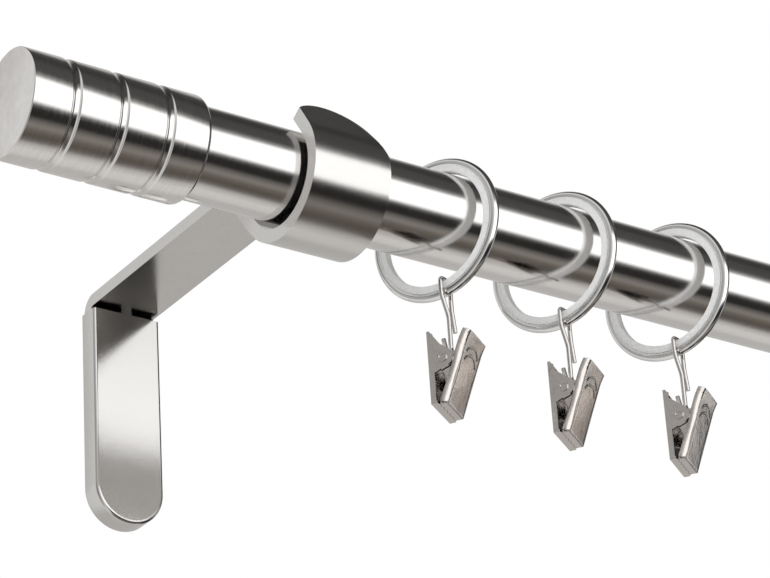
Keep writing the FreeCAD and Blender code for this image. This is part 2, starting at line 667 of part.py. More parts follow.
def front_line(distance, inset):
    """Point (front, up) on the front plate, from its top end and below its outer face."""
    df, du = FRONT_BOTTOM[0] - FRONT_TOP[0], FRONT_BOTTOM[1] - FRONT_TOP[1]
    length = math.hypot(df, du)
    df, du = df / length, du / length
    return (FRONT_TOP[0] + df * distance + du * inset, FRONT_TOP[1] + du * distance - df * inset)


def grip_rib(distance):
    """Raised arc across the front jaw's thumb end."""
    length = math.hypot(FRONT_BOTTOM[0] - FRONT_TOP[0], FRONT_BOTTOM[1] - FRONT_TOP[1])
    slope = math.degrees(math.asin((FRONT_TOP[0] - FRONT_BOTTOM[0]) / length))
    front, up = front_line(distance + RIB_ARC_RADIUS, RIB_RADIUS * RIB_SINK)
    rib = Part.makeTorus(RIB_ARC_RADIUS, RIB_RADIUS, V(0, 0, 0), Z_AXIS, -180, 180, RIB_ARC)
    rib.rotate(V(0, 0, 0), Z_AXIS, 90 - RIB_ARC / 2)
    rib.rotate(V(0, 0, 0), X_AXIS, 90 + slope)
    rib.translate(V(0, -front, up))
    return rib


def clip_front_jaw():
    """Sloping front plate with two inner flanges, grip ribs and a toothed lip."""
    half = CLIP_WIDTH / 2
    flange_half = BACK_JAW_WIDTH / 2 - CLIP_PLATE - EAR_GAP
    length = math.hypot(FRONT_BOTTOM[0] - FRONT_TOP[0], FRONT_BOTTOM[1] - FRONT_TOP[1])
    plate = clip_prism([front_line(0, 0), front_line(length, 0), front_line(length, CLIP_PLATE),
                        front_line(0, CLIP_PLATE)], -half, half)
    ear_top = (FRONT_EAR_TOP_FRONT, FRONT_EAR_RADIUS * FRONT_EAR_TANGENT)
    ear_back = (FRONT_EAR_RADIUS * FRONT_EAR_BACK, FRONT_EAR_LOW)
    low_end = (JAW_PARTING + FLANGE_LIP_GAP, JAW_BOTTOM + FLANGE_LIP_RISE)
    outline = [front_line(FLANGE_END_INSET, CLIP_PLATE / 2)] + THUMB_CORNERS + [ear_top, ear_back]
    outline += WAIST_CORNERS + [low_end, front_line(length - FLANGE_END_INSET, CLIP_PLATE / 2)]
    pieces = []
    for x_start in (-flange_half, flange_half - CLIP_PLATE):
        pieces.append(clip_prism(outline, x_start, x_start + CLIP_PLATE))
        pieces.append(pin_disc(FRONT_EAR_RADIUS, x_start, x_start + CLIP_PLATE))
    pieces.append(tooth_row(FRONT_BOTTOM[0] - LIP_INSET, JAW_PARTING + JAW_GAP / 2 - TOOTH_DEPTH / 2, half))
    pieces.append(grip_rib(RIB_FIRST))
    pieces.append(grip_rib(RIB_FIRST + RIB_SPACING))
    jaw = plate.multiFuse(pieces)
    jaw = jaw.cut(pin_disc(PIN_RADIUS + FIT_GAP, -half - 1, half + 1))
    return jaw.removeSplitter()


def clip_rivet():
    """Pin with two dimpled heads."""
    half = BACK_JAW_WIDTH / 2
    head_start = half + FIT_GAP / 2
    head_end = head_start + PIN_HEAD_HEIGHT
    rivet = pin_disc(PIN_RADIUS, -head_end, head_end)
    for x_start in (-head_end, head_start):
        rivet = rivet.fuse(pin_disc(PIN_HEAD_RADIUS, x_start, x_start + PIN_HEAD_HEIGHT))
    for x_start in (-head_end, head_end - PIN_DIMPLE_DEPTH):
        rivet = rivet.cut(pin_disc(PIN_DIMPLE_RADIUS, x_start, x_start + PIN_DIMPLE_DEPTH))
    return rivet.removeSplitter()


def clip_spring():
    """Close-wound coil beside the link, with one leg up each thumb plate."""
    bore = PIN_RADIUS + SPRING_BORE_GAP
    middle = bore + SPRING_WIRE_RADIUS
    start = LINK_WIRE_RADIUS + SPRING_SIDE_GAP
    pitch = 2 * SPRING_WIRE_RADIUS
    edges = []
    for i in range(SPRING_TURNS):
        x = start + pitch * i
        edges.append(Part.Arc(V(x, 0, middle), V(x + pitch / 2, 0, middle + SPRING_WIRE_RADIUS),
                              V(x + pitch, 0, middle)).toShape())
    end = start + pitch * SPRING_TURNS
    edges.append(Part.makeLine(V(end, 0, middle), V(end, 0, bore)))
    edges.append(Part.makeLine(V(end, 0, bore), V(start, 0, bore)))
    edges.append(Part.makeLine(V(start, 0, bore), V(start, 0, middle)))
    coil = Part.Face(Part.Wire(edges)).revolve(V(0, 0, 0), X_AXIS, 360)
    back_leg = Part.makeCylinder(SPRING_WIRE_RADIUS, SPRING_LEG, V(start + pitch / 2, middle, 0),
                                 V(0, BACK_LEG_LEAN, 1))
    front_leg = Part.makeCylinder(SPRING_WIRE_RADIUS, SPRING_LEG, V(end - pitch / 2, -middle, 0),
                                  V(0, -FRONT_LEG_LEAN, 1))
    return coil.fuse(back_leg).fuse(front_leg)


# ---------------------------------------------------------------- build
def build_brackets():
    for side, bracket_x in zip(SIDE_NAMES, BRACKET_X):
        save(side + "_bracket_bar", bracket_bar(bracket_x))
        save(side + "_bracket_cover", bracket_cover(bracket_x))
        save(side + "_cradle_pad", cradle_pad(bracket_x))


def build_rod():
    save("rod", rod_tube())
    save("left_finial_cap", finial_cap())
    save("left_finial_plug", finial_plug())
    save("right_finial_cap", mirrored(finial_cap()))
    save("right_finial_plug", mirrored(finial_plug()))


def build_rings():
    back_jaw = clip_back_jaw()
    front_jaw = clip_front_jaw()
    rivet = clip_rivet()
    spring = clip_spring()
    for number, ring_x in zip(ring_names(), ring_places()):
        save("ring_" + number + "_wire", ring_wire(ring_x))
        save("ring_" + number + "_liner", ring_liner(ring_x))
        save("link_" + number, link_wire(ring_x))
        save("clip_" + number + "_back_jaw", place_clip(back_jaw, ring_x))
        save("clip_" + number + "_front_jaw", place_clip(front_jaw, ring_x))
        save("clip_" + number + "_rivet", place_clip(rivet, ring_x))
        save("clip_" + number + "_spring", place_clip(spring, ring_x))


os.makedirs("parts", exist_ok=True)
build_brackets()
build_rod()
build_rings()
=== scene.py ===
"""Finished look of a curtain rod: two open cradle brackets, two grooved finials, six clip rings."""

import json
import math

import bmesh
import bpy
from bpy.props import FloatProperty, FloatVectorProperty, IntProperty, PointerProperty
from mathutils import Matrix, Vector

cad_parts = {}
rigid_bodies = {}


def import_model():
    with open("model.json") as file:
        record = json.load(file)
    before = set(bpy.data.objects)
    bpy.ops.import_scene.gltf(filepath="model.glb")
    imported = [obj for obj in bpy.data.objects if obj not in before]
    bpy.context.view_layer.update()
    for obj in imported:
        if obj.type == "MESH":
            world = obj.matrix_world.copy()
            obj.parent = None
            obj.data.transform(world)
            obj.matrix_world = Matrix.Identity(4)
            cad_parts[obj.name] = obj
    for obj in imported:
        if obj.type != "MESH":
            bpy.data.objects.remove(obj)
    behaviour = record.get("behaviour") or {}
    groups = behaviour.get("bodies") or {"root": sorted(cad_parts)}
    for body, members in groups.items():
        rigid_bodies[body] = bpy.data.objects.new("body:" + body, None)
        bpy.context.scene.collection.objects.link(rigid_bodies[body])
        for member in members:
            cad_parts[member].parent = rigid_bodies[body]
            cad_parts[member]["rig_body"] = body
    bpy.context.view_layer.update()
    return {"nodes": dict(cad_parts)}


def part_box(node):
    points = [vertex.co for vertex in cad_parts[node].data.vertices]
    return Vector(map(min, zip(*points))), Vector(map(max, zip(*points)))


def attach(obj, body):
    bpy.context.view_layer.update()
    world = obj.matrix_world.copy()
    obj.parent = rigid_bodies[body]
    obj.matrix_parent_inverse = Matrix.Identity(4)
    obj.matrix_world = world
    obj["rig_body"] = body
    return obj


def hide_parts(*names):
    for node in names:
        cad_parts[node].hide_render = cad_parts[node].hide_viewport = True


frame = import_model()

bl_info = {
    "name": "Curtain Rod With Clip Rings",
    "version": (1, 0, 0),
    "blender": (4, 5, 0),
    "location": "3D View > Sidebar > Curtain Rod",
    "description": "Builds the finished curtain rod, its brackets, finials, rings and clips",
    "category": "Object",
}

MM = 0.001
UP = Vector((0, 0, 1))
ALONG_ROD = Vector((1, 0, 0))
TO_WALL = Vector((0, 1, 0))
WELD = 1e-7                      # points closer than this are one point
SIDES = ("left", "right")
RINGS = sorted(n.split("_")[1] for n in frame["nodes"] if n.startswith("ring_") and n.endswith("_wire"))


# ---------------------------------------------------------------- sizes and colours
def length(name, description, millimetres):
    """A size that shows in the sidebar as a length."""
    return FloatProperty(name=name, description=description, default=millimetres * MM,
                         precision=4, unit="LENGTH")


def turn(name, description, degrees):
    """An angle that shows in the sidebar in degrees."""
    return FloatProperty(name=name, description=description, default=math.radians(degrees),
                         unit="ROTATION", subtype="ANGLE")


def count(name, description, number):
    """A whole number of like features."""
    return IntProperty(name=name, description=description, default=number, min=1)


def colour(name, description, red, green, blue):
    """A surface colour."""
    return FloatVectorProperty(name=name, description=description, default=(red, green, blue),
                               subtype="COLOR", min=0.0, max=1.0)


class RodSizes(bpy.types.PropertyGroup):
    """Sizes of the tube and of the caps on its ends."""
    wall: length("Tube wall", "Thickness of the rod's steel tube", 0.8)
    tube_edge: length("Tube edge", "Rounding of the cut ends of the tube", 0.15)
    cap_end_wall: length("Cap end wall", "Thickness of the closed end of a cap", 2.0)
    cap_bore_gap: length("Cap bore gap", "Space between the tube and the cap's bore", 0.25)
    cap_end_edge: length("Cap end edge", "Broken edge of the cap's flat end", 0.4)
    cap_mouth_edge: length("Cap mouth edge", "Rounding of the cap's open end", 1.5)
    groove_count: count("Grooves", "Grooves turned into each cap", 3)
    groove_width: length("Groove width", "Width of one turned groove", 3.0)
    groove_depth: length("Groove depth", "Depth of one turned groove", 0.75)
    groove_edge: length("Groove edge", "Rounding where a groove meets the land beside it", 0.2)


class BracketSizes(bpy.types.PropertyGroup):
    """Sizes of the bent bar and of the cover over its wall leg."""
    thickness: length("Bar thickness", "Thickness of the flat bar", 4.2)
    head_width: length("Cradle width", "Width of the bar round the rod", 26.3)
    arm_width: length("Arm width", "Width of the arm and of the wall leg", 22.6)
    arm_underside: length("Arm underside", "Height of the arm's underside above the rod's axis", 8.6)
    leg: length("Wall leg", "Length of the wall leg below the arm's underside", 73.0)
    clearance: length("Cradle clearance", "Cradle's inner radius beyond the rod's", 1.6)
    setback: length("Cradle setback", "Cradle's axis in front of the rod's", 0.6)
    drop: length("Cradle drop", "Cradle's axis below the rod's", 0.8)
    back_tangent: turn("Back tangent", "Where the back run leaves the cradle, below the level", 40.0)
    tip_tangent: turn("Tip tangent", "Where the tip leaves the cradle, above the level", 32.0)
    tip_length: length("Tip length", "Straight run up to the tip's left corner", 8.0)
    tip_radius: length("Tip radius", "Radius of the tip's round outline", 13.54)
    tip_centre_in: length("Tip centre", "Centre of the round outline, from the left edge", 9.9)
    tip_centre_down: length("Tip centre drop", "Centre of the round outline, below the left corner", 9.24)
    tip_round_end: length("Tip round end", "Where the round outline stops, from the left edge", 22.8)
    tip_right_drop: length("Tip right drop", "Where the outline meets the right edge, below the corner", 14.4)
    neck_bend: length("Neck bend", "Inside radius of the bend behind the cradle", 4.0)
    wall_bend: length("Wall bend", "Inside radius of the bend at the wall", 1.5)
    taper_start: length("Taper start", "Where the bar starts to narrow, behind the rod's axis", 17.0)
    taper_end: length("Taper end", "Where the bar has narrowed, behind the rod's axis", 27.0)
    edge: length("Bar edge", "Rounding of the bar's long edges", 0.4)
    screw_spacing: length("Screw spacing", "Distance between the two screw holes", 36.0)
    screw_hole: length("Screw hole", "Radius of a screw hole", 2.5)
    cover_wall: length("Cover wall", "Thickness of the cover's sheet", 0.6)
    cover_edge: length("Cover edge", "Rounding round the cover's face", 1.1)
    cover_top_gap: length("Cover top gap", "Space between the cover and the arm", 1.6)
    tab_width: length("Tab width", "Width of the tab in the middle of the cover's top", 3.6)
    tab_gap: length("Tab gap", "Space left between the tab and the arm", 0.15)


class RingSizes(bpy.types.PropertyGroup):
    """Sizes of a ring, its liner and the wire link below it."""
    ring_turn: turn("Ring turn", "Turn of a hanging ring about the vertical", 18.0)
    wire: length("Ring wire", "Radius of the ring's wire", 1.4)
    bore: length("Liner bore", "Inner radius of the liner", 18.4)
    liner_depth: length("Liner depth", "From the liner's bore to the wire", 1.95)
    liner_width: length("Liner width", "Width of the liner along the rod", 2.8)
    liner_lip: length("Liner lip", "Reach of the liner up the sides of the wire", 0.5)
    liner_edge: length("Liner edge", "Rounding of the liner's edges", 0.35)
    fit: length("Fit", "Space between pieces that are pressed together", 0.05)
    link_lean: turn("Link lean", "Place of the link round the ring, in front of the lowest point", 6.0)
    link_wire: length("Link wire", "Radius of the link's wire", 0.7)
    link_side_gap: length("Link side gap", "Space between the link and the liner's side", 0.2)
    link_top_gap: length("Link top gap", "Space between the link and the liner's bore", 0.15)
    link_shift: length("Link shift", "Long strand off the ring's middle plane", 0.6)
    strand_front: length("Strand front", "Long strand in front of the clip's pin", 0.4)
    pin_gap: length("Pin gap", "Space between the link and the clip's pin", 0.15)


class ClipSizes(bpy.types.PropertyGroup):
    """Sizes of a clip's pressed plates and its rivet."""
    clip_turn: turn("Clip turn", "Turn of a hanging clip about the vertical", 34.5)
    width: length("Clip width", "Width of the back plate, over its ears", 15.6)
    pin: length("Pin", "Radius of the rivet's shank", 1.0)
    head: length("Head", "Radius of the rivet's rolled head", 1.6)
    head_height: length("Head height", "Height of the rivet's rolled head", 0.5)
    dimple: length("Dimple", "Radius of the hollow in the rivet's head", 0.8)
    dimple_depth: length("Dimple depth", "Depth of the hollow in the rivet's head", 0.4)
    plate_edge: length("Plate edge", "Rounding of the pressed plates' short edges", 0.12)
    long_edge: length("Long edge", "Rounding of the pressed plates' long edges", 0.36)
    front_width: length("Front width", "Width of the front plate", 15.2)
    front_top: length("Front top", "Front plate's top end in front of the pin", 8.6)
    front_top_rise: length("Front top rise", "Front plate's top end above the pin", 7.6)
    front_foot: length("Front foot", "Front plate's lower end in front of the pin", 0.35)
    front_foot_drop: length("Front foot drop", "Front plate's lower end below the pin", 14.3)
    rolled_edge: length("Rolled edge", "Bend of the front plate's long sides", 1.5)
    rolled_depth: length("Rolled depth", "How far those sides turn in", 2.2)
    sheet: length("Sheet", "Thickness of the pressed sheet", 0.5)
    crown: length("Crown", "Bulge across the front plate", 0.14)
    flare: length("Flare", "Outward curl of the thumb end", 0.5)
    flare_length: length("Flare length", "Length of that curl", 5.0)
    waist: length("Waist", "Narrowing of each side below the grip", 0.5)
    waist_start: length("Waist start", "Where the narrowing starts, from the thumb end", 7.0)
    long_from: length("Long from", "Edges at least this long are rounded as long ones", 12.0)


class Finishes(bpy.types.PropertyGroup):
    """Colours of the surfaces."""
    satin: colour("Satin nickel", "Bracket bar and cover", 0.72, 0.705, 0.685)
    tube: colour("Brushed tube", "Rod", 0.80, 0.785, 0.77)
    turned: colour("Turned steel", "Finial caps", 0.82, 0.80, 0.78)
    chrome: colour("Chrome", "Ring wire", 0.88, 0.87, 0.86)
    link: colour("Bright wire", "Links", 0.66, 0.64, 0.62)
    nickel: colour("Bright nickel", "Clip plates and rivets", 0.70, 0.655, 0.62)
    spring: colour("Spring wire", "Clip springs", 0.50, 0.50, 0.49)
    nylon: colour("Milky nylon", "Ring liners", 0.93, 0.93, 0.92)
    rubber: colour("Rubber", "Cradle pads", 0.045, 0.045, 0.045)
    plastic: colour("Plug plastic", "Plugs inside the finials", 0.10, 0.10, 0.10)
    floor: colour("Floor", "Pale floor under the object", 0.92, 0.92, 0.91)


class StageSizes(bpy.types.PropertyGroup):
    """Camera, lamps and floor."""
    camera_place: FloatVectorProperty(
        name="Camera place", description="Where the camera stands",
        default=(-0.4546, -0.7824, -0.4098), subtype="TRANSLATION", unit="LENGTH")
    camera_heading: turn("Camera heading", "Turn of the view from the wall's normal to the right", 35.74)
    camera_rise: turn("Camera rise", "Upward tilt of the view", 26.75)
    camera_roll: turn("Camera roll", "Sideways tilt of the camera", 3.76)
    lens: FloatProperty(name="Lens", description="Focal length", default=145.1, unit="CAMERA")
    floor_drop: length("Floor drop", "Floor below the middle of the screw holes", 600.0)
    floor_width: length("Floor width", "Width of the floor", 16000.0)
    room_light: FloatProperty(name="Room light", description="Even light from all sides", default=0.85)
    lamp_power: FloatProperty(name="Lamp power", description="Power of the soft lamp", default=9.0,
                              unit="POWER")


# ---------------------------------------------------------------- node helpers
def add_node(tree, kind, x=0, y=0, **values):
    """Add a shader node and set its own properties."""
    node = tree.nodes.new(kind)
    node.location = (x, y)
    for key, value in values.items():
        setattr(node, key, value)
    return node


def new_group(name, inputs, outputs):
    """Empty shader node group with named sockets; returns the tree and its two end nodes."""
    tree = bpy.data.node_groups.new(name, "ShaderNodeTree")
    for label, kind, default in inputs:
        socket = tree.interface.new_socket(name=label, in_out="INPUT", socket_type=kind)
        if default is not None:
            socket.default_value = default
    for label, kind in outputs:
        tree.interface.new_socket(name=label, in_out="OUTPUT", socket_type=kind)
    start = add_node(tree, "NodeGroupInput", -700)
    end = add_node(tree, "NodeGroupOutput", 600)
    return tree, start, end


def grain_group():
    """Fine brushed lines: noise stretched by its density along each axis, from 0 to 1."""
    name = "Brushed grain"
    if name in bpy.data.node_groups:
        return bpy.data.node_groups[name]
    tree, start, end = new_group(
        name,
        [("Vector", "NodeSocketVector", None), ("Density", "NodeSocketVector", None),
         ("Contrast", "NodeSocketFloat", 1.0)],
        [("Mask", "NodeSocketFloat")])
    stretch = add_node(tree, "ShaderNodeVectorMath", -500, operation="MULTIPLY")
    noise = add_node(tree, "ShaderNodeTexNoise", -300)
    noise.inputs["Scale"].default_value = 1.0
    noise.inputs["Detail"].default_value = 4.0
    noise.inputs["Roughness"].default_value = 0.65
    centre = add_node(tree, "ShaderNodeMath", -100, operation="SUBTRACT")
    centre.inputs[1].default_value = 0.5
    spread = add_node(tree, "ShaderNodeMath", 100, operation="MULTIPLY")
    back = add_node(tree, "ShaderNodeMath", 300, operation="ADD", use_clamp=True)
    back.inputs[1].default_value = 0.5
    link = tree.links.new
    link(start.outputs["Vector"], stretch.inputs[0])
    link(start.outputs["Density"], stretch.inputs[1])
    link(stretch.outputs["Vector"], noise.inputs["Vector"])
    link(noise.outputs["Fac"], centre.inputs[0])
    link(centre.outputs[0], spread.inputs[0])
    link(start.outputs["Contrast"], spread.inputs[1])
    link(spread.outputs[0], back.inputs[0])
    link(back.outputs[0], end.inputs["Mask"])
    return tree


def grained_metal(name, base, roughness, layers, bump_depth=0.0, shade=0.06):
    """Metal whose brushing shifts its roughness, its colour a little, and its height.

    Each layer is (density along X, Y and Z in lines per metre, contrast, weight).
    """
    if name in bpy.data.materials:
        return bpy.data.materials[name]
    material = bpy.data.materials.new(name)
    material.use_nodes = True
    tree = material.node_tree
    shader = tree.nodes["Principled BSDF"]
    link = tree.links.new
    place = add_node(tree, "ShaderNodeTexCoord", -1300)
    total = None
    for i, (density, contrast, weight) in enumerate(layers):
        grain = add_node(tree, "ShaderNodeGroup", -1000, -250 * i, node_tree=grain_group())
        grain.inputs["Density"].default_value = density
        grain.inputs["Contrast"].default_value = contrast
        link(place.outputs["Object"], grain.inputs["Vector"])
        part = add_node(tree, "ShaderNodeMath", -800, -250 * i, operation="MULTIPLY")
        part.inputs[1].default_value = weight
        link(grain.outputs["Mask"], part.inputs[0])
        if total is None:
            total = part
        else:
            joined = add_node(tree, "ShaderNodeMath", -600, -250 * i, operation="ADD")
            link(total.outputs[0], joined.inputs[0])
            link(part.outputs[0], joined.inputs[1])
            total = joined
    gloss = add_node(tree, "ShaderNodeMapRange", -400, 200)
    gloss.inputs["To Min"].default_value = roughness[0]
    gloss.inputs["To Max"].default_value = roughness[1]
    link(total.outputs[0], gloss.inputs["Value"])
    link(gloss.outputs["Result"], shader.inputs["Roughness"])
    tint = add_node(tree, "ShaderNodeMix", -400, 500, data_type="RGBA")
    tint.inputs["A"].default_value = [c * (1 - shade) for c in base] + [1]
    tint.inputs["B"].default_value = [min(1.0, c * (1 + shade)) for c in base] + [1]
    link(total.outputs[0], tint.inputs["Factor"])
    link(tint.outputs["Result"], shader.inputs["Base Color"])
    shader.inputs["Metallic"].default_value = 1.0
    if bump_depth:
        bump = add_node(tree, "ShaderNodeBump", -200, -300)
        bump.inputs["Strength"].default_value = 1.0
        bump.inputs["Distance"].default_value = bump_depth
        link(total.outputs[0], bump.inputs["Height"])
        link(bump.outputs["Normal"], shader.inputs["Normal"])
    return material


def finishes():
    """The colours set in the sidebar."""
    return bpy.context.scene.curtain_rod_finishes


def satin_nickel():
    """Bracket finish: very fine even grain, soft reflections."""
    return grained_metal("Satin nickel", finishes().satin, (0.09, 0.22),
                         [((3600, 3600, 3600), 2.0, 0.75), ((60, 60, 60), 1.5, 0.25)], 7.0e-6, 0.12)


def brushed_tube():
    """Rod finish: fine brushing round the tube."""
    return grained_metal("Brushed tube", finishes().tube, (0.08, 0.20),
                         [((5200, 500, 500), 1.9, 0.65), ((35, 90, 90), 1.8, 0.35)], 2.5e-6, 0.09)


def turned_steel():
    """Cap finish: lathe lines round the cap, stronger than the rod's."""
    return grained_metal("Turned steel", finishes().turned, (0.06, 0.22),
                         [((4200, 160, 160), 2.2, 0.7), ((1500, 1500, 1500), 1.8, 0.3)], 5.0e-6, 0.12)


def bright_metal(name, base, roughness, waviness, ripple=700):
    """Plated metal: smooth, with the slight unevenness of formed wire or pressed sheet."""
    return grained_metal(name, base, roughness, [((ripple,) * 3, 1.6, 0.9), ((3500,) * 3, 1.2, 0.1)],
                         waviness, 0.03)


def polished_groove():
    """Floor of a turned groove: bright, with no lathe lines."""
    return bright_metal("Polished groove", finishes().turned, (0.03, 0.07), 0.5e-6)


def chrome_wire():
    return bright_metal("Chrome wire", finishes().chrome, (0.05, 0.10), 1.0e-6)


def link_wire_finish():
    return bright_metal("Bright wire", finishes().link, (0.06, 0.12), 1.0e-6)


def bright_nickel():
    return bright_metal("Bright nickel", finishes().nickel, (0.04, 0.09), 160.0e-6, 160)


def spring_steel():
    return bright_metal("Spring steel", finishes().spring, (0.25, 0.40), 1.0e-6)


def plain_surface(name, base, roughness, density, bump_depth):
    """Moulded surface with a fine texture in its gloss and height."""
    if name in bpy.data.materials:
        return bpy.data.materials[name]
    material = grained_metal(name, base, roughness, [((density,) * 3, 1.4, 1.0)], bump_depth, 0.04)
    material.node_tree.nodes["Principled BSDF"].inputs["Metallic"].default_value = 0.0
    return material


def milky_nylon():
    """Liner finish: pale nylon that lets some light through."""
    material = plain_surface("Milky nylon", finishes().nylon, (0.22, 0.32), 900, 1.0e-6)
    shader = material.node_tree.nodes["Principled BSDF"]
    shader.inputs["Subsurface Weight"].default_value = 0.6
    shader.inputs["Subsurface Radius"].default_value = (1.0, 1.0, 0.95)
    shader.inputs["Subsurface Scale"].default_value = 0.002
    shader.inputs["IOR"].default_value = 1.4
    return material


def soft_rubber():
    return plain_surface("Soft rubber", finishes().rubber, (0.55, 0.70), 3000, 8.0e-6)


def plug_plastic():
    return plain_surface("Plug plastic", finishes().plastic, (0.38, 0.50), 2500, 4.0e-6)


# ---------------------------------------------------------------- mesh helpers
def middle_and_size(node):
    """Middle and side lengths of a CAD node's box."""
    low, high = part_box(node)
    return (low + high) / 2, high - low


def finish_piece(name, shape, material, nodes, crease=30):
    """Make a bmesh a shaded piece that rides with the CAD nodes it stands for."""
    mesh = bpy.data.meshes.new(name)
    shape.to_mesh(mesh)
    shape.free()
    return finish_mesh(name, mesh, material, nodes, crease)


def finish_mesh(name, mesh, material, nodes, crease=30):
    """Make a mesh a shaded piece that rides with the CAD nodes it stands for."""
    mesh.shade_smooth()
    mesh.set_sharp_from_angle(angle=math.radians(crease))
    mesh.materials.clear()
    mesh.materials.append(material)
    piece = bpy.data.objects.new(name, mesh)
    bpy.context.scene.collection.objects.link(piece)
    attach(piece, frame["nodes"][nodes[0]]["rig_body"])
    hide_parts(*nodes)
    return piece


def round_edges(piece, width, segments=3, angle=40):
    """Round a piece's sharp edges and keep its flat faces flat."""
    bevel = piece.modifiers.new("Rounded edges", "BEVEL")
    bevel.width = width
    bevel.segments = segments
    bevel.limit_method = "ANGLE"
    bevel.angle_limit = math.radians(angle)
    bevel.use_clamp_overlap = True
    flat = piece.modifiers.new("Flat faces", "WEIGHTED_NORMAL")
    flat.keep_sharp = True
    flat.weight = 80
    return piece


def spun(profile, middle, axis, steps, closed=True):
    """Profile of (along the axis, out from it, rounding) corners turned right round an axis."""
    shape = bmesh.new()
    corners = [shape.verts.new(middle + axis * along + UP * out) for along, out, _ in profile]
    pairs = list(zip(corners, corners[1:]))
    if closed:
        pairs.append((corners[-1], corners[0]))
    for pair in pairs:
        shape.edges.new(pair)
    for corner, (_, _, rounding) in zip(corners, profile):
        if rounding:
            bmesh.ops.bevel(shape, geom=[corner], offset=rounding, offset_type="OFFSET", segments=4,
                            profile=0.5, affect="VERTICES", material=-1)
    bmesh.ops.spin(shape, geom=shape.verts[:] + shape.edges[:], cent=middle, axis=axis,
                   angle=2 * math.pi, steps=steps, use_merge=True, use_duplicate=False)
    bmesh.ops.remove_doubles(shape, verts=shape.verts, dist=WELD)
    bmesh.ops.recalc_face_normals(shape, faces=shape.faces)
    return shape


def welded_copy(node):
    """Copy of a CAD node's mesh, with its loose triangles joined into whole faces."""
    shape = bmesh.new()
    shape.from_mesh(frame["nodes"][node].data)
    bmesh.ops.remove_doubles(shape, verts=shape.verts, dist=1e-6)
    bmesh.ops.dissolve_limit(shape, angle_limit=math.radians(0.6), verts=shape.verts, edges=shape.edges)
    return shape


# ---------------------------------------------------------------- rod and caps
def rod_piece(sizes):
    """Steel tube with softened ends."""
    middle, size = middle_and_size("rod")
    outer = size.z / 2
    inner = outer - sizes.wall
    half = size.x / 2
    edge = sizes.tube_edge
    profile = [(-half, outer, edge), (half, outer, edge), (half, inner, edge), (-half, inner, edge)]
    shape = spun(profile, middle, ALONG_ROD, 192)
    return finish_piece("rod_tube", shape, brushed_tube(), ["rod"])


def cap_piece(side, sizes):
    """Cap with a flat end, lands parted by shallow round grooves, and a bore over the rod."""
    node = side + "_finial_cap"
    middle, size = middle_and_size(node)
    radius = size.z / 2
    bore = middle_and_size("rod")[1].z / 2 + sizes.cap_bore_gap
    outwards = -ALONG_ROD if side == "left" else ALONG_ROD
    end = middle + outwards * (size.x / 2)
    inwards = -outwards
    land = (size.x - sizes.groove_count * sizes.groove_width) / (sizes.groove_count + 1)
    profile = [(0.0, 0.0, 0), (0.0, radius, sizes.cap_end_edge)]
    half_groove = sizes.groove_width / 2
    groove_radius = (half_groove ** 2 + sizes.groove_depth ** 2) / (2 * sizes.groove_depth)
    half_angle = math.asin(half_groove / groove_radius)
    steps = 10
    for i in range(sizes.groove_count):
        centre = land * (i + 1) + sizes.groove_width * i + half_groove
        for k in range(steps + 1):
            angle = half_angle * (2 * k / steps - 1)
            along = centre + groove_radius * math.sin(angle)
            out = radius - sizes.groove_depth + groove_radius * (1 - math.cos(angle))
            profile.append((along, out, sizes.groove_edge if k in (0, steps) else 0))
    profile.append((size.x, radius, sizes.cap_mouth_edge))
    profile.append((size.x, bore, sizes.tube_edge))
    profile.append((sizes.cap_end_wall, bore, 0))
    profile.append((sizes.cap_end_wall, 0.0, 0))
    shape = spun(profile, end, inwards, 192, closed=False)
    piece = finish_piece(side + "_cap", shape, turned_steel(), [node], 35)
    piece.data.materials.append(polished_groove())
    for face in piece.data.polygons:
        out = (face.center - middle).cross(ALONG_ROD).length
        along = (face.center - end).dot(inwards)
        if bore < out < radius - 0.04 * MM and land / 2 < along < size.x - land / 2:
            face.material_index = 1
    return piece


# ---------------------------------------------------------------- brackets
def bar_path(sizes, rod_middle, rod_radius):
    """Runs of the bar's middle line from the tip down to the foot: (length, radius of bend or 0, side)."""
    half = sizes.thickness / 2
    cradle = rod_radius + sizes.clearance + half
    centre = Vector((0, rod_middle.y - sizes.setback, rod_middle.z - sizes.drop))
    rise = math.pi / 2 - sizes.back_tangent
    arm_z = rod_middle.z + sizes.arm_underside + half
    back_y = centre.y + cradle * math.cos(sizes.back_tangent)
    back_z = centre.z - cradle * math.sin(sizes.back_tangent)
    neck = sizes.neck_bend + half
    neck_reach = neck * math.tan(rise / 2)
    run_length = (arm_z - back_z) / math.sin(rise)
    neck_y = back_y + run_length * math.cos(rise)
    wall = sizes.wall_bend + half
    tip_rise = sizes.tip_radius - sizes.tip_centre_down
    start_angle = math.pi - sizes.tip_tangent
    along = Vector((0, math.sin(sizes.tip_tangent), math.cos(sizes.tip_tangent)))
    tangent = centre + cradle * Vector((0, math.cos(start_angle), math.sin(start_angle)))
    tip = tangent + along * (sizes.tip_length + tip_rise)
    foot_z = arm_z - half - sizes.leg
    runs = [
        (sizes.tip_length + tip_rise, 0, 0),
        (cradle * (math.pi + sizes.tip_tangent - sizes.back_tangent), cradle, 1),
        (run_length - neck_reach, 0, 0),
        (neck * rise, neck, -1),
        (-half - wall - neck_y - neck_reach, 0, 0),
        (wall * math.pi / 2, wall, -1),
        (arm_z - wall - foot_z, 0, 0),
    ]
    return tip, -along, runs


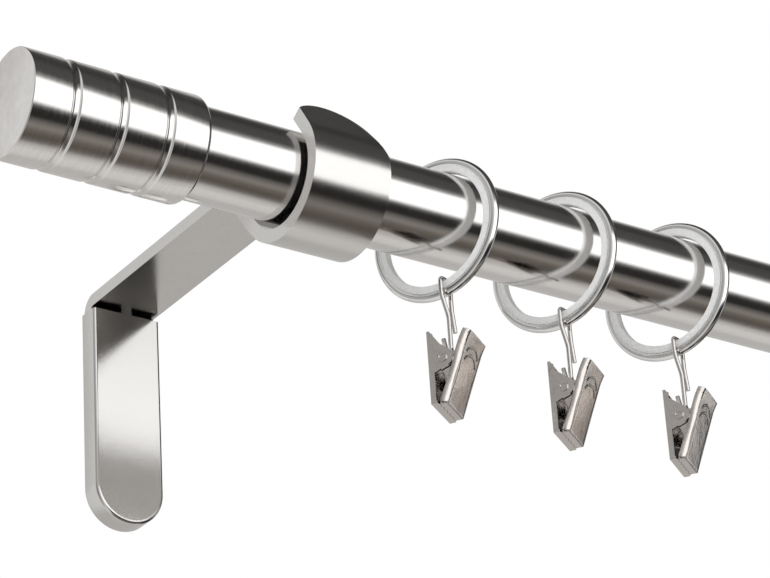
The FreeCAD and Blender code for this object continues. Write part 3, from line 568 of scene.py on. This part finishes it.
def walk(path, distance):
    """Point on the bar's middle line at a distance from the tip."""
    place, heading, runs = path
    place = place.copy()
    angle = math.atan2(heading.z, heading.y)
    for run, radius, side in runs:
        part = min(distance, run)
        distance -= part
        forward = Vector((0, math.cos(angle), math.sin(angle)))
        if side:
            centre = place + side * radius * Vector((0, -forward.z, forward.y))
            swept = side * part / radius
            arm = place - centre
            place = centre + Matrix.Rotation(swept, 3, "X") @ arm
            angle += swept
        else:
            place = place + forward * part
        if distance <= 0:
            break
    return place


def bar_rows(runs):
    """Distances from the tip of the grid's rows, closer together round the bends."""
    rows = [0.0]
    start = 0.0
    for run, radius, side in runs:
        pieces = max(2, round(run / radius / math.radians(2.5))) if side else max(6, round(run / 0.004))
        rows += [start + run * (i + 1) / pieces for i in range(pieces)]
        start += run
    return rows


def tip_outline(sizes, across):
    """Distance of the tip's edge from the blank's top, at a place across the bar."""
    top = sizes.tip_radius - sizes.tip_centre_down
    across = min(max(across, 0.0), sizes.head_width)
    end = sizes.tip_round_end
    reach = min(across, end) - sizes.tip_centre_in
    drop = sizes.tip_centre_down - math.sqrt(sizes.tip_radius ** 2 - reach ** 2)
    if across > end:
        drop += (sizes.tip_right_drop - drop) * (across - end) / (sizes.head_width - end)
    return top + drop


def bar_sheet(sizes, bracket_x, rod_middle, rod_radius):
    """Blank bent into the bar's middle surface, from a flat grid."""
    path = bar_path(sizes, rod_middle, rod_radius)
    rows = bar_rows(path[2])
    columns = 28
    total = rows[-1]
    foot_radius = sizes.arm_width / 2
    tip_base = 1.6 * (sizes.tip_radius - sizes.tip_centre_down + sizes.tip_right_drop)
    foot_base = total - 1.3 * foot_radius
    shape = bmesh.new()
    bmesh.ops.create_grid(shape, x_segments=columns, y_segments=len(rows) - 1, size=0.5)
    for vert in shape.verts:
        column = round((vert.co.x + 0.5) * columns)
        row = round((vert.co.y + 0.5) * (len(rows) - 1))
        across = math.sin(math.pi * (column / columns - 0.5))
        distance = rows[row]
        if distance < tip_base:
            outline = tip_outline(sizes, (across + 1) / 2 * sizes.head_width)
            distance = tip_base - (tip_base - distance) * (tip_base - outline) / tip_base
        if distance > foot_base:
            reach = math.sqrt(max(0.0, 1 - across ** 2)) * foot_radius
            end = total - foot_radius + reach
            distance = foot_base + (distance - foot_base) * (end - foot_base) / (total - foot_base)
        place = walk(path, distance)
        behind = place.y - rod_middle.y
        taper = (behind - sizes.taper_start) / (sizes.taper_end - sizes.taper_start)
        width = sizes.head_width + (sizes.arm_width - sizes.head_width) * min(max(taper, 0.0), 1.0)
        vert.co = Vector((bracket_x + across * width / 2, place.y, place.z))
    bmesh.ops.recalc_face_normals(shape, faces=shape.faces)
    return shape


def screw_drill(sizes, bracket_x):
    """Two short rods where the screw holes go."""
    shape = bmesh.new()
    for side in (-1, 1):
        place = Matrix.Translation((bracket_x, 0, side * sizes.screw_spacing / 2))
        bmesh.ops.create_cone(shape, cap_ends=True, segments=48, radius1=sizes.screw_hole,
                              radius2=sizes.screw_hole, depth=4 * sizes.thickness,
                              matrix=place @ Matrix.Rotation(math.pi / 2, 4, "X"))
    mesh = bpy.data.meshes.new("screw_drill")
    shape.to_mesh(mesh)
    shape.free()
    drill = bpy.data.objects.new("screw_drill", mesh)
    bpy.context.scene.collection.objects.link(drill)
    return drill


def settle_modifiers(piece):
    """Make a piece's modifiers part of its mesh."""
    graph = bpy.context.evaluated_depsgraph_get()
    made = bpy.data.meshes.new_from_object(piece.evaluated_get(graph))
    piece.modifiers.clear()
    old = piece.data
    piece.data = made
    bpy.data.meshes.remove(old)


def bar_piece(side, sizes):
    """Bent flat bar with a round tip, a round foot and two screw holes."""
    node = side + "_bracket_bar"
    rod_middle, rod_size = middle_and_size("rod")
    bracket_x = middle_and_size(node)[0].x
    shape = bar_sheet(sizes, bracket_x, rod_middle, rod_size.z / 2)
    piece = finish_piece(side + "_bar", shape, satin_nickel(), [node])
    wall = piece.modifiers.new("Thickness", "SOLIDIFY")
    wall.thickness = sizes.thickness
    wall.offset = 0
    wall.use_even_offset = True
    drill = screw_drill(sizes, bracket_x)
    holes = piece.modifiers.new("Screw holes", "BOOLEAN")
    holes.operation = "DIFFERENCE"
    holes.solver = "EXACT"
    holes.object = drill
    settle_modifiers(piece)
    bpy.data.objects.remove(drill)
    return round_edges(piece, sizes.edge)


def cover_piece(side, sizes):
    """Cover's shell: a flat face with a round foot, a rounded edge, side walls and a tab on top."""
    node = side + "_bracket_cover"
    low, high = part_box(node)
    arm = middle_and_size("rod")[0].z + sizes.arm_underside
    top = arm - sizes.cover_top_gap
    middle_x = (low.x + high.x) / 2
    half = (high.x - low.x) / 2
    front = low.y
    foot = Vector((middle_x, front, low.z + half))
    shape = bmesh.new()
    first = shape.verts.new((low.x, front, top))
    turn_start = shape.verts.new((low.x, front, foot.z))
    sides = [shape.edges.new((first, turn_start))]
    made = bmesh.ops.spin(shape, geom=[turn_start], cent=foot, axis=-TO_WALL, angle=math.pi, steps=48,
                          use_merge=False, use_duplicate=False)
    last = [v for v in made["geom_last"] if isinstance(v, bmesh.types.BMVert)][0]
    corner = shape.verts.new((high.x, front, top))
    shape.edges.new((last, corner))
    sides = shape.edges[:]
    tab_top = arm - sizes.tab_gap
    tab = [(middle_x + sizes.tab_width / 2, top), (middle_x + sizes.tab_width / 2, tab_top),
           (middle_x - sizes.tab_width / 2, tab_top), (middle_x - sizes.tab_width / 2, top)]
    previous = corner
    for x, z in tab:
        vert = shape.verts.new((x, front, z))
        shape.edges.new((previous, vert))
        previous = vert
    shape.edges.new((previous, first))
    bmesh.ops.contextual_create(shape, geom=shape.edges[:])
    walls = bmesh.ops.extrude_edge_only(shape, edges=sides)
    moved = [v for v in walls["geom"] if isinstance(v, bmesh.types.BMVert)]
    bmesh.ops.translate(shape, verts=moved, vec=TO_WALL * (high.y - front))
    bmesh.ops.recalc_face_normals(shape, faces=shape.faces)
    rim = [e for e in sides if e.is_valid]
    bmesh.ops.bevel(shape, geom=rim, offset=sizes.cover_edge, offset_type="OFFSET", segments=5,
                    profile=0.5, affect="EDGES", material=-1, clamp_overlap=True)
    piece = finish_piece(side + "_cover", shape, satin_nickel(), [node])
    wall = piece.modifiers.new("Sheet", "SOLIDIFY")
    wall.thickness = sizes.cover_wall
    wall.offset = -1
    wall.use_even_offset = True
    flat = piece.modifiers.new("Flat faces", "WEIGHTED_NORMAL")
    flat.keep_sharp = True
    flat.weight = 80
    return piece


def pad_piece(side):
    """Soft strip under the rod."""
    node = side + "_cradle_pad"
    piece = finish_piece(side + "_pad", welded_copy(node), soft_rubber(), [node])
    return round_edges(piece, 0.25 * MM)


# ---------------------------------------------------------------- rings and links
def ring_direction(sizes):
    """Axis of a hanging ring."""
    return Vector((math.cos(sizes.ring_turn), math.sin(sizes.ring_turn), 0))


def ring_wire_piece(number, sizes):
    """Closed ring of bright wire."""
    node = "ring_" + number + "_wire"
    middle, size = middle_and_size(node)
    axis = ring_direction(sizes)
    radius = sizes.bore + sizes.liner_depth + sizes.wire
    shape = bmesh.new()
    place = Matrix.Translation(middle + UP * radius) @ UP.cross(axis).to_track_quat("Z", "Y").to_matrix().to_4x4()
    ring = bmesh.ops.create_circle(shape, segments=28, radius=sizes.wire, matrix=place)
    bmesh.ops.spin(shape, geom=shape.verts[:] + shape.edges[:], cent=middle, axis=axis,
                   angle=2 * math.pi, steps=144, use_merge=True, use_duplicate=False)
    bmesh.ops.remove_doubles(shape, verts=shape.verts, dist=WELD)
    bmesh.ops.recalc_face_normals(shape, faces=shape.faces)
    return finish_piece("ring_" + number + "_loop", shape, chrome_wire(), [node], 60)


def liner_piece(number, sizes):
    """Nylon band inside the ring, grooved to hold the wire."""
    node = "ring_" + number + "_liner"
    middle = middle_and_size(node)[0]
    half = sizes.liner_width / 2
    wire_centre = sizes.bore + sizes.liner_depth + sizes.wire
    outer = sizes.bore + sizes.liner_depth + sizes.liner_lip
    groove = sizes.wire + sizes.fit
    reach = math.acos((wire_centre - outer) / groove)
    steps = 10
    profile = [(half, sizes.bore, sizes.liner_edge), (half, outer, 0)]
    for k in range(steps + 1):
        angle = reach * (1 - 2 * k / steps)
        profile.append((groove * math.sin(angle), wire_centre - groove * math.cos(angle), 0))
    profile.append((-half, outer, 0))
    profile.append((-half, sizes.bore, sizes.liner_edge))
    shape = spun(profile, middle, ring_direction(sizes), 144)
    return finish_piece("ring_" + number + "_band", shape, milky_nylon(), [node], 40)


def link_corners(number, sizes, clip):
    """Corners of the bent wire, with the radius of each bend, from one free end to the other."""
    ring_middle = middle_and_size("ring_" + number + "_wire")[0]
    pin = middle_and_size("clip_" + number + "_rivet")[0]
    axis = ring_direction(sizes)
    back = Vector((-axis.y, axis.x, 0))
    inner = sizes.bore - sizes.link_wire - sizes.link_top_gap
    top = ring_middle - back * (inner * math.sin(sizes.link_lean)) - UP * (inner * math.cos(sizes.link_lean))
    front = Vector((math.sin(clip.clip_turn), -math.cos(clip.clip_turn), 0))
    across = sizes.liner_width / 2 + sizes.link_side_gap + sizes.link_wire
    around = clip.pin + sizes.pin_gap + sizes.link_wire
    depth = sizes.liner_depth + 2 * sizes.wire + sizes.link_top_gap + sizes.link_wire

    def by_ring(along, drop):
        return top + axis * along - UP * drop

    def by_clip(forward, rise):
        return pin + front * forward + UP * rise

    bend = 1.0 * MM
    soft = 2.0 * MM
    return [
        (by_ring(across + 1.0 * MM, depth + 11.0 * MM), 0),
        (by_ring(across, depth + 4.0 * MM), 6.0 * MM),
        (by_ring(across, 0), bend),
        (by_ring(-across, 0), bend),
        (by_ring(-across, depth), 3.0 * MM),
        (by_ring(sizes.link_shift, depth + 6.4 * MM), 5.0 * MM),
        (by_clip(sizes.strand_front, 5.6 * MM), soft),
        (by_clip(around, 2.2 * MM), soft),
        (by_clip(around, -around), around - 0.001 * MM),
        (by_clip(-around, -around), around - 0.001 * MM),
        (by_clip(-around, 2.2 * MM), soft),
        (by_clip(-1.1 * MM, 5.8 * MM), soft),
        (by_clip(-1.8 * MM, 9.6 * MM), 0),
    ]


def link_piece(number, sizes, clip):
    """Round wire bent over the ring and under the clip's pin."""
    node = "link_" + number
    corners = link_corners(number, sizes, clip)
    knots = [(corners[0][0], None, None)]
    for (before, _), (corner, radius), (after, _) in zip(corners, corners[1:], corners[2:]):
        towards = (before - corner).normalized()
        away = (after - corner).normalized()
        half = towards.angle(away) / 2
        reach = radius / math.tan(half)
        handle = radius * 4 / 3 * math.tan((math.pi / 2 - half) / 2)
        start = corner + towards * reach
        end = corner + away * reach
        knots.append((start, None, start - towards * handle))
        knots.append((end, end - away * handle, None))
    knots.append((corners[-1][0], None, None))
    curve = bpy.data.curves.new("link_path", "CURVE")
    curve.dimensions = "3D"
    curve.bevel_depth = sizes.link_wire
    curve.bevel_resolution = 5
    curve.resolution_u = 8
    curve.use_fill_caps = True
    spline = curve.splines.new("BEZIER")
    spline.bezier_points.add(len(knots) - 1)
    for i, (point, (place, left, right)) in enumerate(zip(spline.bezier_points, knots)):
        point.handle_left_type = "FREE"
        point.handle_right_type = "FREE"
        point.co = place
        before = knots[max(i - 1, 0)][0]
        after = knots[min(i + 1, len(knots) - 1)][0]
        point.handle_left = left if left is not None else place.lerp(before, 1 / 3)
        point.handle_right = right if right is not None else place.lerp(after, 1 / 3)
    path = bpy.data.objects.new("link_path", curve)
    bpy.context.scene.collection.objects.link(path)
    graph = bpy.context.evaluated_depsgraph_get()
    mesh = bpy.data.meshes.new_from_object(path.evaluated_get(graph))
    bpy.data.objects.remove(path)
    bpy.data.curves.remove(curve)
    shape = bmesh.new()
    shape.from_mesh(mesh)
    bpy.data.meshes.remove(mesh)
    bmesh.ops.remove_doubles(shape, verts=shape.verts, dist=WELD)
    bmesh.ops.recalc_face_normals(shape, faces=shape.faces)
    return finish_piece("link_" + number + "_wire", shape, link_wire_finish(), [node], 50)


# ---------------------------------------------------------------- clips
def jaw_piece(number, jaw, sizes):
    """Pressed plate with softened edges."""
    node = "clip_" + number + "_" + jaw + "_jaw"
    shape = welded_copy(node)
    if jaw == "front":
        narrow_plate(shape, number, sizes)
    weight = shape.edges.layers.float.new("bevel_weight_edge")
    for edge in shape.edges:
        sharp = edge.is_manifold and edge.calc_face_angle() > math.radians(35)
        long_side = edge.calc_length() > sizes.long_from
        edge[weight] = (1.0 if long_side else sizes.plate_edge / sizes.long_edge) if sharp else 0.0
    piece = finish_piece("clip_" + number + "_" + jaw, shape, bright_nickel(), [node])
    round_edges(piece, sizes.long_edge, 3)
    piece.modifiers["Rounded edges"].limit_method = "WEIGHT"
    return piece


def front_shell_piece(number, sizes):
    """Rolled face of the front jaw: sides turned in, thumb end flared, a slight waist and crown."""
    pin = middle_and_size("clip_" + number + "_rivet")[0]
    side = Vector((math.cos(sizes.clip_turn), math.sin(sizes.clip_turn), 0))
    front = Vector((side.y, -side.x, 0))
    top = pin + front * sizes.front_top + UP * sizes.front_top_rise
    foot = pin + front * sizes.front_foot - UP * sizes.front_foot_drop
    down = (foot - top).normalized()
    outward = side.cross(down)
    if outward.dot(front) < 0:
        outward = -outward
    total = (foot - top).length
    bend = sizes.rolled_edge
    turn_columns = 8
    face_columns = 12
    columns = 2 * (turn_columns + 1) + face_columns
    rows = 36
    shape = bmesh.new()
    bmesh.ops.create_grid(shape, x_segments=columns, y_segments=rows, size=0.5)
    for vert in shape.verts:
        column = round((vert.co.x + 0.5) * columns)
        along = (0.5 - vert.co.y) * total
        narrowing = max(0.0, along - sizes.waist_start) / (total - sizes.waist_start)
        half = sizes.front_width / 2 - sizes.waist * math.sin(math.pi * narrowing) ** 2
        mirror = -1 if column <= columns / 2 else 1
        step = min(column, columns - column)
        if step == 0:
            across = half
            inset = sizes.rolled_depth
        elif step <= turn_columns + 1:
            angle = math.pi / 2 * (step - 1) / turn_columns
            across = half - bend + bend * math.cos(angle)
            inset = bend - bend * math.sin(angle)
        else:
            across = (half - bend) * (1 - (step - turn_columns - 1) / (face_columns / 2))
            inset = 0.0
        bulge = sizes.crown * (1 - (across / half) ** 2) if inset == 0.0 else 0.0
        curl = sizes.flare * max(0.0, 1 - along / sizes.flare_length) ** 2
        lift = 0.02 * MM + bulge + curl - inset
        vert.co = top + down * along + side * (mirror * across) + outward * lift
    bmesh.ops.recalc_face_normals(shape, faces=shape.faces)
    middle_face = min(shape.faces, key=lambda f: (f.calc_center_median() - (top + foot) / 2).length)
    if middle_face.normal.dot(outward) < 0:
        bmesh.ops.reverse_faces(shape, faces=shape.faces)
    mesh = bpy.data.meshes.new("clip_" + number + "_shell")
    shape.to_mesh(mesh)
    shape.free()
    mesh.shade_smooth()
    mesh.materials.append(bright_nickel())
    piece = bpy.data.objects.new("clip_" + number + "_shell", mesh)
    bpy.context.scene.collection.objects.link(piece)
    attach(piece, frame["nodes"]["clip_" + number + "_front_jaw"]["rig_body"])
    wall = piece.modifiers.new("Sheet", "SOLIDIFY")
    wall.thickness = sizes.sheet
    wall.offset = -1
    wall.use_even_offset = True
    edges = piece.modifiers.new("Rounded edges", "BEVEL")
    edges.width = sizes.plate_edge
    edges.segments = 2
    edges.limit_method = "ANGLE"
    edges.angle_limit = math.radians(50)
    return piece


def narrow_plate(shape, number, sizes):
    """Bring a welded front jaw's overhanging sides in, so that the rolled shell covers them."""
    pin = middle_and_size("clip_" + number + "_rivet")[0]
    side = Vector((math.cos(sizes.clip_turn), math.sin(sizes.clip_turn), 0))
    limit = sizes.front_width / 2 - 1.0 * MM
    for vert in shape.verts:
        across = (vert.co - pin).dot(side)
        if abs(across) > limit:
            vert.co -= side * (across - math.copysign(limit, across))


def rivet_piece(number, sizes):
    """Pin with two rolled, hollow heads."""
    node = "clip_" + number + "_rivet"
    middle = middle_and_size(node)[0]
    axis = Vector((math.cos(sizes.clip_turn), math.sin(sizes.clip_turn), 0))
    end = sizes.width / 2 + 0.025 * MM + sizes.head_height
    under = end - sizes.head_height
    floor = end - sizes.dimple_depth
    soft = 0.2 * MM
    half = [(floor, 0.0, 0), (floor, sizes.dimple, 0), (end, sizes.dimple, soft), (end, sizes.head, soft),
            (under, sizes.head, 0.1 * MM), (under, sizes.pin, 0)]
    profile = half + [(-along, out, rounding) for along, out, rounding in reversed(half)]
    shape = spun(profile, middle, axis, 40, closed=False)
    return finish_piece("clip_" + number + "_pin", shape, bright_nickel(), [node], 40)


# ---------------------------------------------------------------- stage
STUDIO_BANDS = (
    # degrees round the rod from the wall over the top to the front, brightness, and warmth
    (0, 0.42, 0.02), (32, 0.46, 0.02), (58, 0.46, 0.02), (67, 0.20, 0.02), (76, 0.05, 0.03),
    (95, 0.028, 0.02), (111, 0.05, 0.02), (134, 0.055, 0.02), (144, 0.26, 0.01), (151, 1.15, 0.0),
    (194, 1.15, 0.0), (202, 0.12, 0.02), (209, 0.020, 0.03), (224, 0.018, 0.04), (232, 0.11, 0.07),
    (242, 0.19, 0.08), (252, 0.11, 0.13), (264, 0.070, 0.15), (274, 0.12, 0.08), (284, 0.40, 0.03),
    (298, 0.55, 0.02), (314, 0.53, 0.02), (326, 0.42, 0.02), (360, 0.42, 0.02),
)
METAL_LEVEL = 1.25               # makes up for what bright metal takes from a reflection
SIDE_BANDS = (
    # along the rod from its left end to its right, how much the side covers, and its brightness
    (-1.0, 1.0, 0.16), (-0.93, 1.0, 0.30), (-0.80, 1.0, 0.36), (-0.62, 1.0, 0.60), (-0.50, 0.9, 0.60),
    (-0.30, 0.0, 0.60), (0.70, 0.0, 0.10), (0.80, 1.0, 0.03), (0.93, 1.0, 0.03), (0.965, 1.0, 0.12),
    (0.985, 1.0, 0.46), (1.0, 1.0, 0.70),
)


def color_steps(tree, steps, source, x, y):
    """Colour ramp with (position, red-green-blue) stops."""
    ramp = add_node(tree, "ShaderNodeValToRGB", x, y)
    stops = ramp.color_ramp.elements
    stops.remove(stops[-1])
    stops[0].position = steps[0][0]
    stops[0].color = steps[0][1] + [1]
    for position, tone in steps[1:]:
        stops.new(position).color = tone + [1]
    tree.links.new(source, ramp.inputs["Fac"])
    return ramp


def studio_world(stage):
    """White room: even light for matt surfaces, and for metal the same room with dark cards in it."""
    world = bpy.data.worlds.new("Studio")
    bpy.context.scene.world = world
    world.use_nodes = True
    tree = world.node_tree
    tree.nodes.clear()
    link = tree.links.new
    place = add_node(tree, "ShaderNodeTexCoord", -1400)
    split = add_node(tree, "ShaderNodeSeparateXYZ", -1200)
    link(place.outputs["Generated"], split.inputs[0])
    around = add_node(tree, "ShaderNodeMath", -1000, operation="ARCTAN2")
    link(split.outputs["Z"], around.inputs[0])
    link(split.outputs["Y"], around.inputs[1])
    turns = add_node(tree, "ShaderNodeMath", -800, operation="DIVIDE")
    turns.inputs[1].default_value = 2 * math.pi
    link(around.outputs[0], turns.inputs[0])
    wrap = add_node(tree, "ShaderNodeMath", -600, operation="FRACT")
    whole = add_node(tree, "ShaderNodeMath", -700, operation="ADD")
    whole.inputs[1].default_value = 1.0
    link(turns.outputs[0], whole.inputs[0])
    link(whole.outputs[0], wrap.inputs[0])
    round_rod = [(degrees / 360, [b * (1 + w), b, b * (1 - w)]) for degrees, b, w in STUDIO_BANDS]
    bands = color_steps(tree, round_rod, wrap.outputs[0], -400, 0)
    reach = add_node(tree, "ShaderNodeMapRange", -700, -400)
    reach.inputs["From Min"].default_value = -1.0
    link(split.outputs["X"], reach.inputs["Value"])
    cover = color_steps(tree, [((x + 1) / 2, [c] * 3) for x, c, _ in SIDE_BANDS], reach.outputs[0], -400, -300)
    side = color_steps(tree, [((x + 1) / 2, [b] * 3) for x, _, b in SIDE_BANDS], reach.outputs[0], -400, -600)
    seen = add_node(tree, "ShaderNodeMix", -100, data_type="RGBA")
    link(cover.outputs["Color"], seen.inputs["Factor"])
    link(bands.outputs["Color"], seen.inputs["A"])
    link(side.outputs["Color"], seen.inputs["B"])
    metal = add_node(tree, "ShaderNodeBackground", 150)
    metal.inputs["Strength"].default_value = METAL_LEVEL
    link(seen.outputs["Result"], metal.inputs["Color"])
    even = add_node(tree, "ShaderNodeBackground", 150, -200)
    even.inputs["Color"].default_value = (1, 1, 1, 1)
    even.inputs["Strength"].default_value = stage.room_light
    white = add_node(tree, "ShaderNodeBackground", 150, -400)
    white.inputs["Color"].default_value = (1, 1, 1, 1)
    white.inputs["Strength"].default_value = 1.0
    ray = add_node(tree, "ShaderNodeLightPath", 150, 400)
    glossy = add_node(tree, "ShaderNodeMixShader", 400)
    link(ray.outputs["Is Glossy Ray"], glossy.inputs[0])
    link(even.outputs[0], glossy.inputs[1])
    link(metal.outputs[0], glossy.inputs[2])
    through = add_node(tree, "ShaderNodeMath", 400, 300, operation="MAXIMUM")
    link(ray.outputs["Is Camera Ray"], through.inputs[0])
    link(ray.outputs["Is Transmission Ray"], through.inputs[1])
    both = add_node(tree, "ShaderNodeMixShader", 600)
    link(through.outputs[0], both.inputs[0])
    link(glossy.outputs[0], both.inputs[1])
    link(white.outputs[0], both.inputs[2])
    end = add_node(tree, "ShaderNodeOutputWorld", 800)
    link(both.outputs[0], end.inputs["Surface"])


def floor_finish():
    """Pale matt floor that reflections and a view from below pass through."""
    material = bpy.data.materials.new("Pale floor")
    material.use_nodes = True
    tree = material.node_tree
    link = tree.links.new
    shader = tree.nodes["Principled BSDF"]
    shader.inputs["Base Color"].default_value = list(finishes().floor) + [1]
    shader.inputs["Roughness"].default_value = 0.9
    shader.inputs["Specular IOR Level"].default_value = 0.0
    clear = add_node(tree, "ShaderNodeBsdfTransparent", 0, -300)
    ray = add_node(tree, "ShaderNodeLightPath", -300, 300)
    surface = add_node(tree, "ShaderNodeNewGeometry", -300, 600)
    skip = add_node(tree, "ShaderNodeMath", 0, 300, operation="MAXIMUM")
    link(ray.outputs["Is Glossy Ray"], skip.inputs[0])
    link(surface.outputs["Backfacing"], skip.inputs[1])
    both = add_node(tree, "ShaderNodeMixShader", 300)
    link(skip.outputs[0], both.inputs[0])
    link(shader.outputs[0], both.inputs[1])
    link(clear.outputs[0], both.inputs[2])
    link(both.outputs[0], tree.nodes["Material Output"].inputs["Surface"])
    return material


def stage_floor(stage):
    """Pale floor well below the object."""
    shape = bmesh.new()
    bmesh.ops.create_grid(shape, x_segments=2, y_segments=2, size=stage.floor_width / 2,
                          matrix=Matrix.Translation((0, 0, -stage.floor_drop)))
    mesh = bpy.data.meshes.new("floor")
    shape.to_mesh(mesh)
    shape.free()
    mesh.materials.append(floor_finish())
    floor = bpy.data.objects.new("floor", mesh)
    bpy.context.scene.collection.objects.link(floor)


def stage_lamp(stage):
    """One large soft lamp above and in front."""
    light = bpy.data.lights.new("soft_lamp", "AREA")
    light.shape = "RECTANGLE"
    light.size = 1.6
    light.size_y = 1.2
    light.energy = stage.lamp_power
    lamp = bpy.data.objects.new("soft_lamp", light)
    bpy.context.scene.collection.objects.link(lamp)
    place = Vector((-0.5, -1.2, 1.5))
    aim = Vector((0.15, -0.1, 0.0))
    lamp.location = place
    lamp.rotation_euler = (aim - place).to_track_quat("-Z", "Y").to_euler()
    lamp.visible_glossy = False


def stage_camera(stage):
    """Camera below the rod, looking up along it."""
    lens = bpy.data.cameras.new("camera")
    lens.lens = stage.lens
    lens.sensor_width = 36
    lens.clip_start = 0.01
    lens.clip_end = 100
    camera = bpy.data.objects.new("camera", lens)
    bpy.context.scene.collection.objects.link(camera)
    heading = stage.camera_heading
    rise = stage.camera_rise
    look = Vector((math.sin(heading) * math.cos(rise), math.cos(heading) * math.cos(rise), math.sin(rise)))
    right = look.cross(UP).normalized()
    up = right.cross(look)
    tilt = Matrix.Rotation(stage.camera_roll, 3, look)
    right = tilt @ right
    up = tilt @ up
    turned = Matrix((right, up, -look)).transposed().to_4x4()
    camera.matrix_world = Matrix.Translation(stage.camera_place) @ turned
    bpy.context.scene.camera = camera


# ---------------------------------------------------------------- operators
class AddRod(bpy.types.Operator):
    """Add the steel tube"""
    bl_idname = "curtain_rod.add_rod"
    bl_label = "Rod"

    def execute(self, context):
        rod_piece(context.scene.curtain_rod_sizes)
        return {"FINISHED"}


class AddFinials(bpy.types.Operator):
    """Add the two grooved caps and finish the plugs inside them"""
    bl_idname = "curtain_rod.add_finials"
    bl_label = "Finials"

    def execute(self, context):
        for side in SIDES:
            cap_piece(side, context.scene.curtain_rod_sizes)
            repaint(side + "_finial_plug", plug_plastic())
        return {"FINISHED"}


class AddBrackets(bpy.types.Operator):
    """Add the two bent bars and their cradle pads"""
    bl_idname = "curtain_rod.add_brackets"
    bl_label = "Brackets"

    def execute(self, context):
        for side in SIDES:
            bar_piece(side, context.scene.curtain_rod_brackets)
            pad_piece(side)
        return {"FINISHED"}


class AddCovers(bpy.types.Operator):
    """Add the two covers over the wall legs"""
    bl_idname = "curtain_rod.add_covers"
    bl_label = "Covers"

    def execute(self, context):
        for side in SIDES:
            cover_piece(side, context.scene.curtain_rod_brackets)
        return {"FINISHED"}


class AddRings(bpy.types.Operator):
    """Add the wire rings and their nylon liners"""
    bl_idname = "curtain_rod.add_rings"
    bl_label = "Rings"

    def execute(self, context):
        for number in RINGS:
            ring_wire_piece(number, context.scene.curtain_rod_rings)
            liner_piece(number, context.scene.curtain_rod_rings)
        return {"FINISHED"}


class AddLinks(bpy.types.Operator):
    """Add the bent wire links"""
    bl_idname = "curtain_rod.add_links"
    bl_label = "Links"

    def execute(self, context):
        for number in RINGS:
            link_piece(number, context.scene.curtain_rod_rings, context.scene.curtain_rod_clips)
        return {"FINISHED"}


class AddClips(bpy.types.Operator):
    """Add the clips' pressed plates and rivets, and finish their springs"""
    bl_idname = "curtain_rod.add_clips"
    bl_label = "Clips"

    def execute(self, context):
        for number in RINGS:
            for jaw in ("back", "front"):
                jaw_piece(number, jaw, context.scene.curtain_rod_clips)
            front_shell_piece(number, context.scene.curtain_rod_clips)
            rivet_piece(number, context.scene.curtain_rod_clips)
            repaint("clip_" + number + "_spring", spring_steel())
        return {"FINISHED"}


class SetStage(bpy.types.Operator):
    """Set up the white room, the floor, the lamp and the camera"""
    bl_idname = "curtain_rod.set_stage"
    bl_label = "Stage"

    def execute(self, context):
        stage = context.scene.curtain_rod_stage
        studio_world(stage)
        stage_floor(stage)
        stage_lamp(stage)
        stage_camera(stage)
        context.scene.view_settings.view_transform = "Standard"
        return {"FINISHED"}


def repaint(node, material):
    """Give a CAD node that stays in view its own finish."""
    slots = frame["nodes"][node].data.materials
    slots.clear()
    slots.append(material)


class CurtainRodPanel(bpy.types.Panel):
    """Lists the pieces and their sizes"""
    bl_idname = "VIEW3D_PT_curtain_rod"
    bl_label = "Curtain Rod"
    bl_space_type = "VIEW_3D"
    bl_region_type = "UI"
    bl_category = "Curtain Rod"

    def draw(self, context):
        for operator in OPERATORS:
            self.layout.operator(operator.bl_idname)
        for key in SETTINGS:
            group = getattr(context.scene, key)
            box = self.layout.box()
            box.label(text=SETTINGS[key].__name__)
            for name in group.bl_rna.properties.keys():
                if name not in ("rna_type", "name"):
                    box.prop(group, name)


OPERATORS = (AddRod, AddFinials, AddBrackets, AddCovers, AddRings, AddLinks, AddClips, SetStage)
SETTINGS = {
    "curtain_rod_sizes": RodSizes,
    "curtain_rod_brackets": BracketSizes,
    "curtain_rod_rings": RingSizes,
    "curtain_rod_clips": ClipSizes,
    "curtain_rod_finishes": Finishes,
    "curtain_rod_stage": StageSizes,
}


def register():
    for key, group in SETTINGS.items():
        bpy.utils.register_class(group)
        setattr(bpy.types.Scene, key, PointerProperty(type=group))
    for operator in OPERATORS:
        bpy.utils.register_class(operator)
    bpy.utils.register_class(CurtainRodPanel)


def unregister():
    bpy.utils.unregister_class(CurtainRodPanel)
    for operator in reversed(OPERATORS):
        bpy.utils.unregister_class(operator)
    for key, group in SETTINGS.items():
        delattr(bpy.types.Scene, key)
        bpy.utils.unregister_class(group)


def main():
    """Build every piece and the stage."""
    register()
    for operator in OPERATORS:
        module, name = operator.bl_idname.split(".")
        getattr(getattr(bpy.ops, module), name)()


if __name__ == "__main__":
    main()
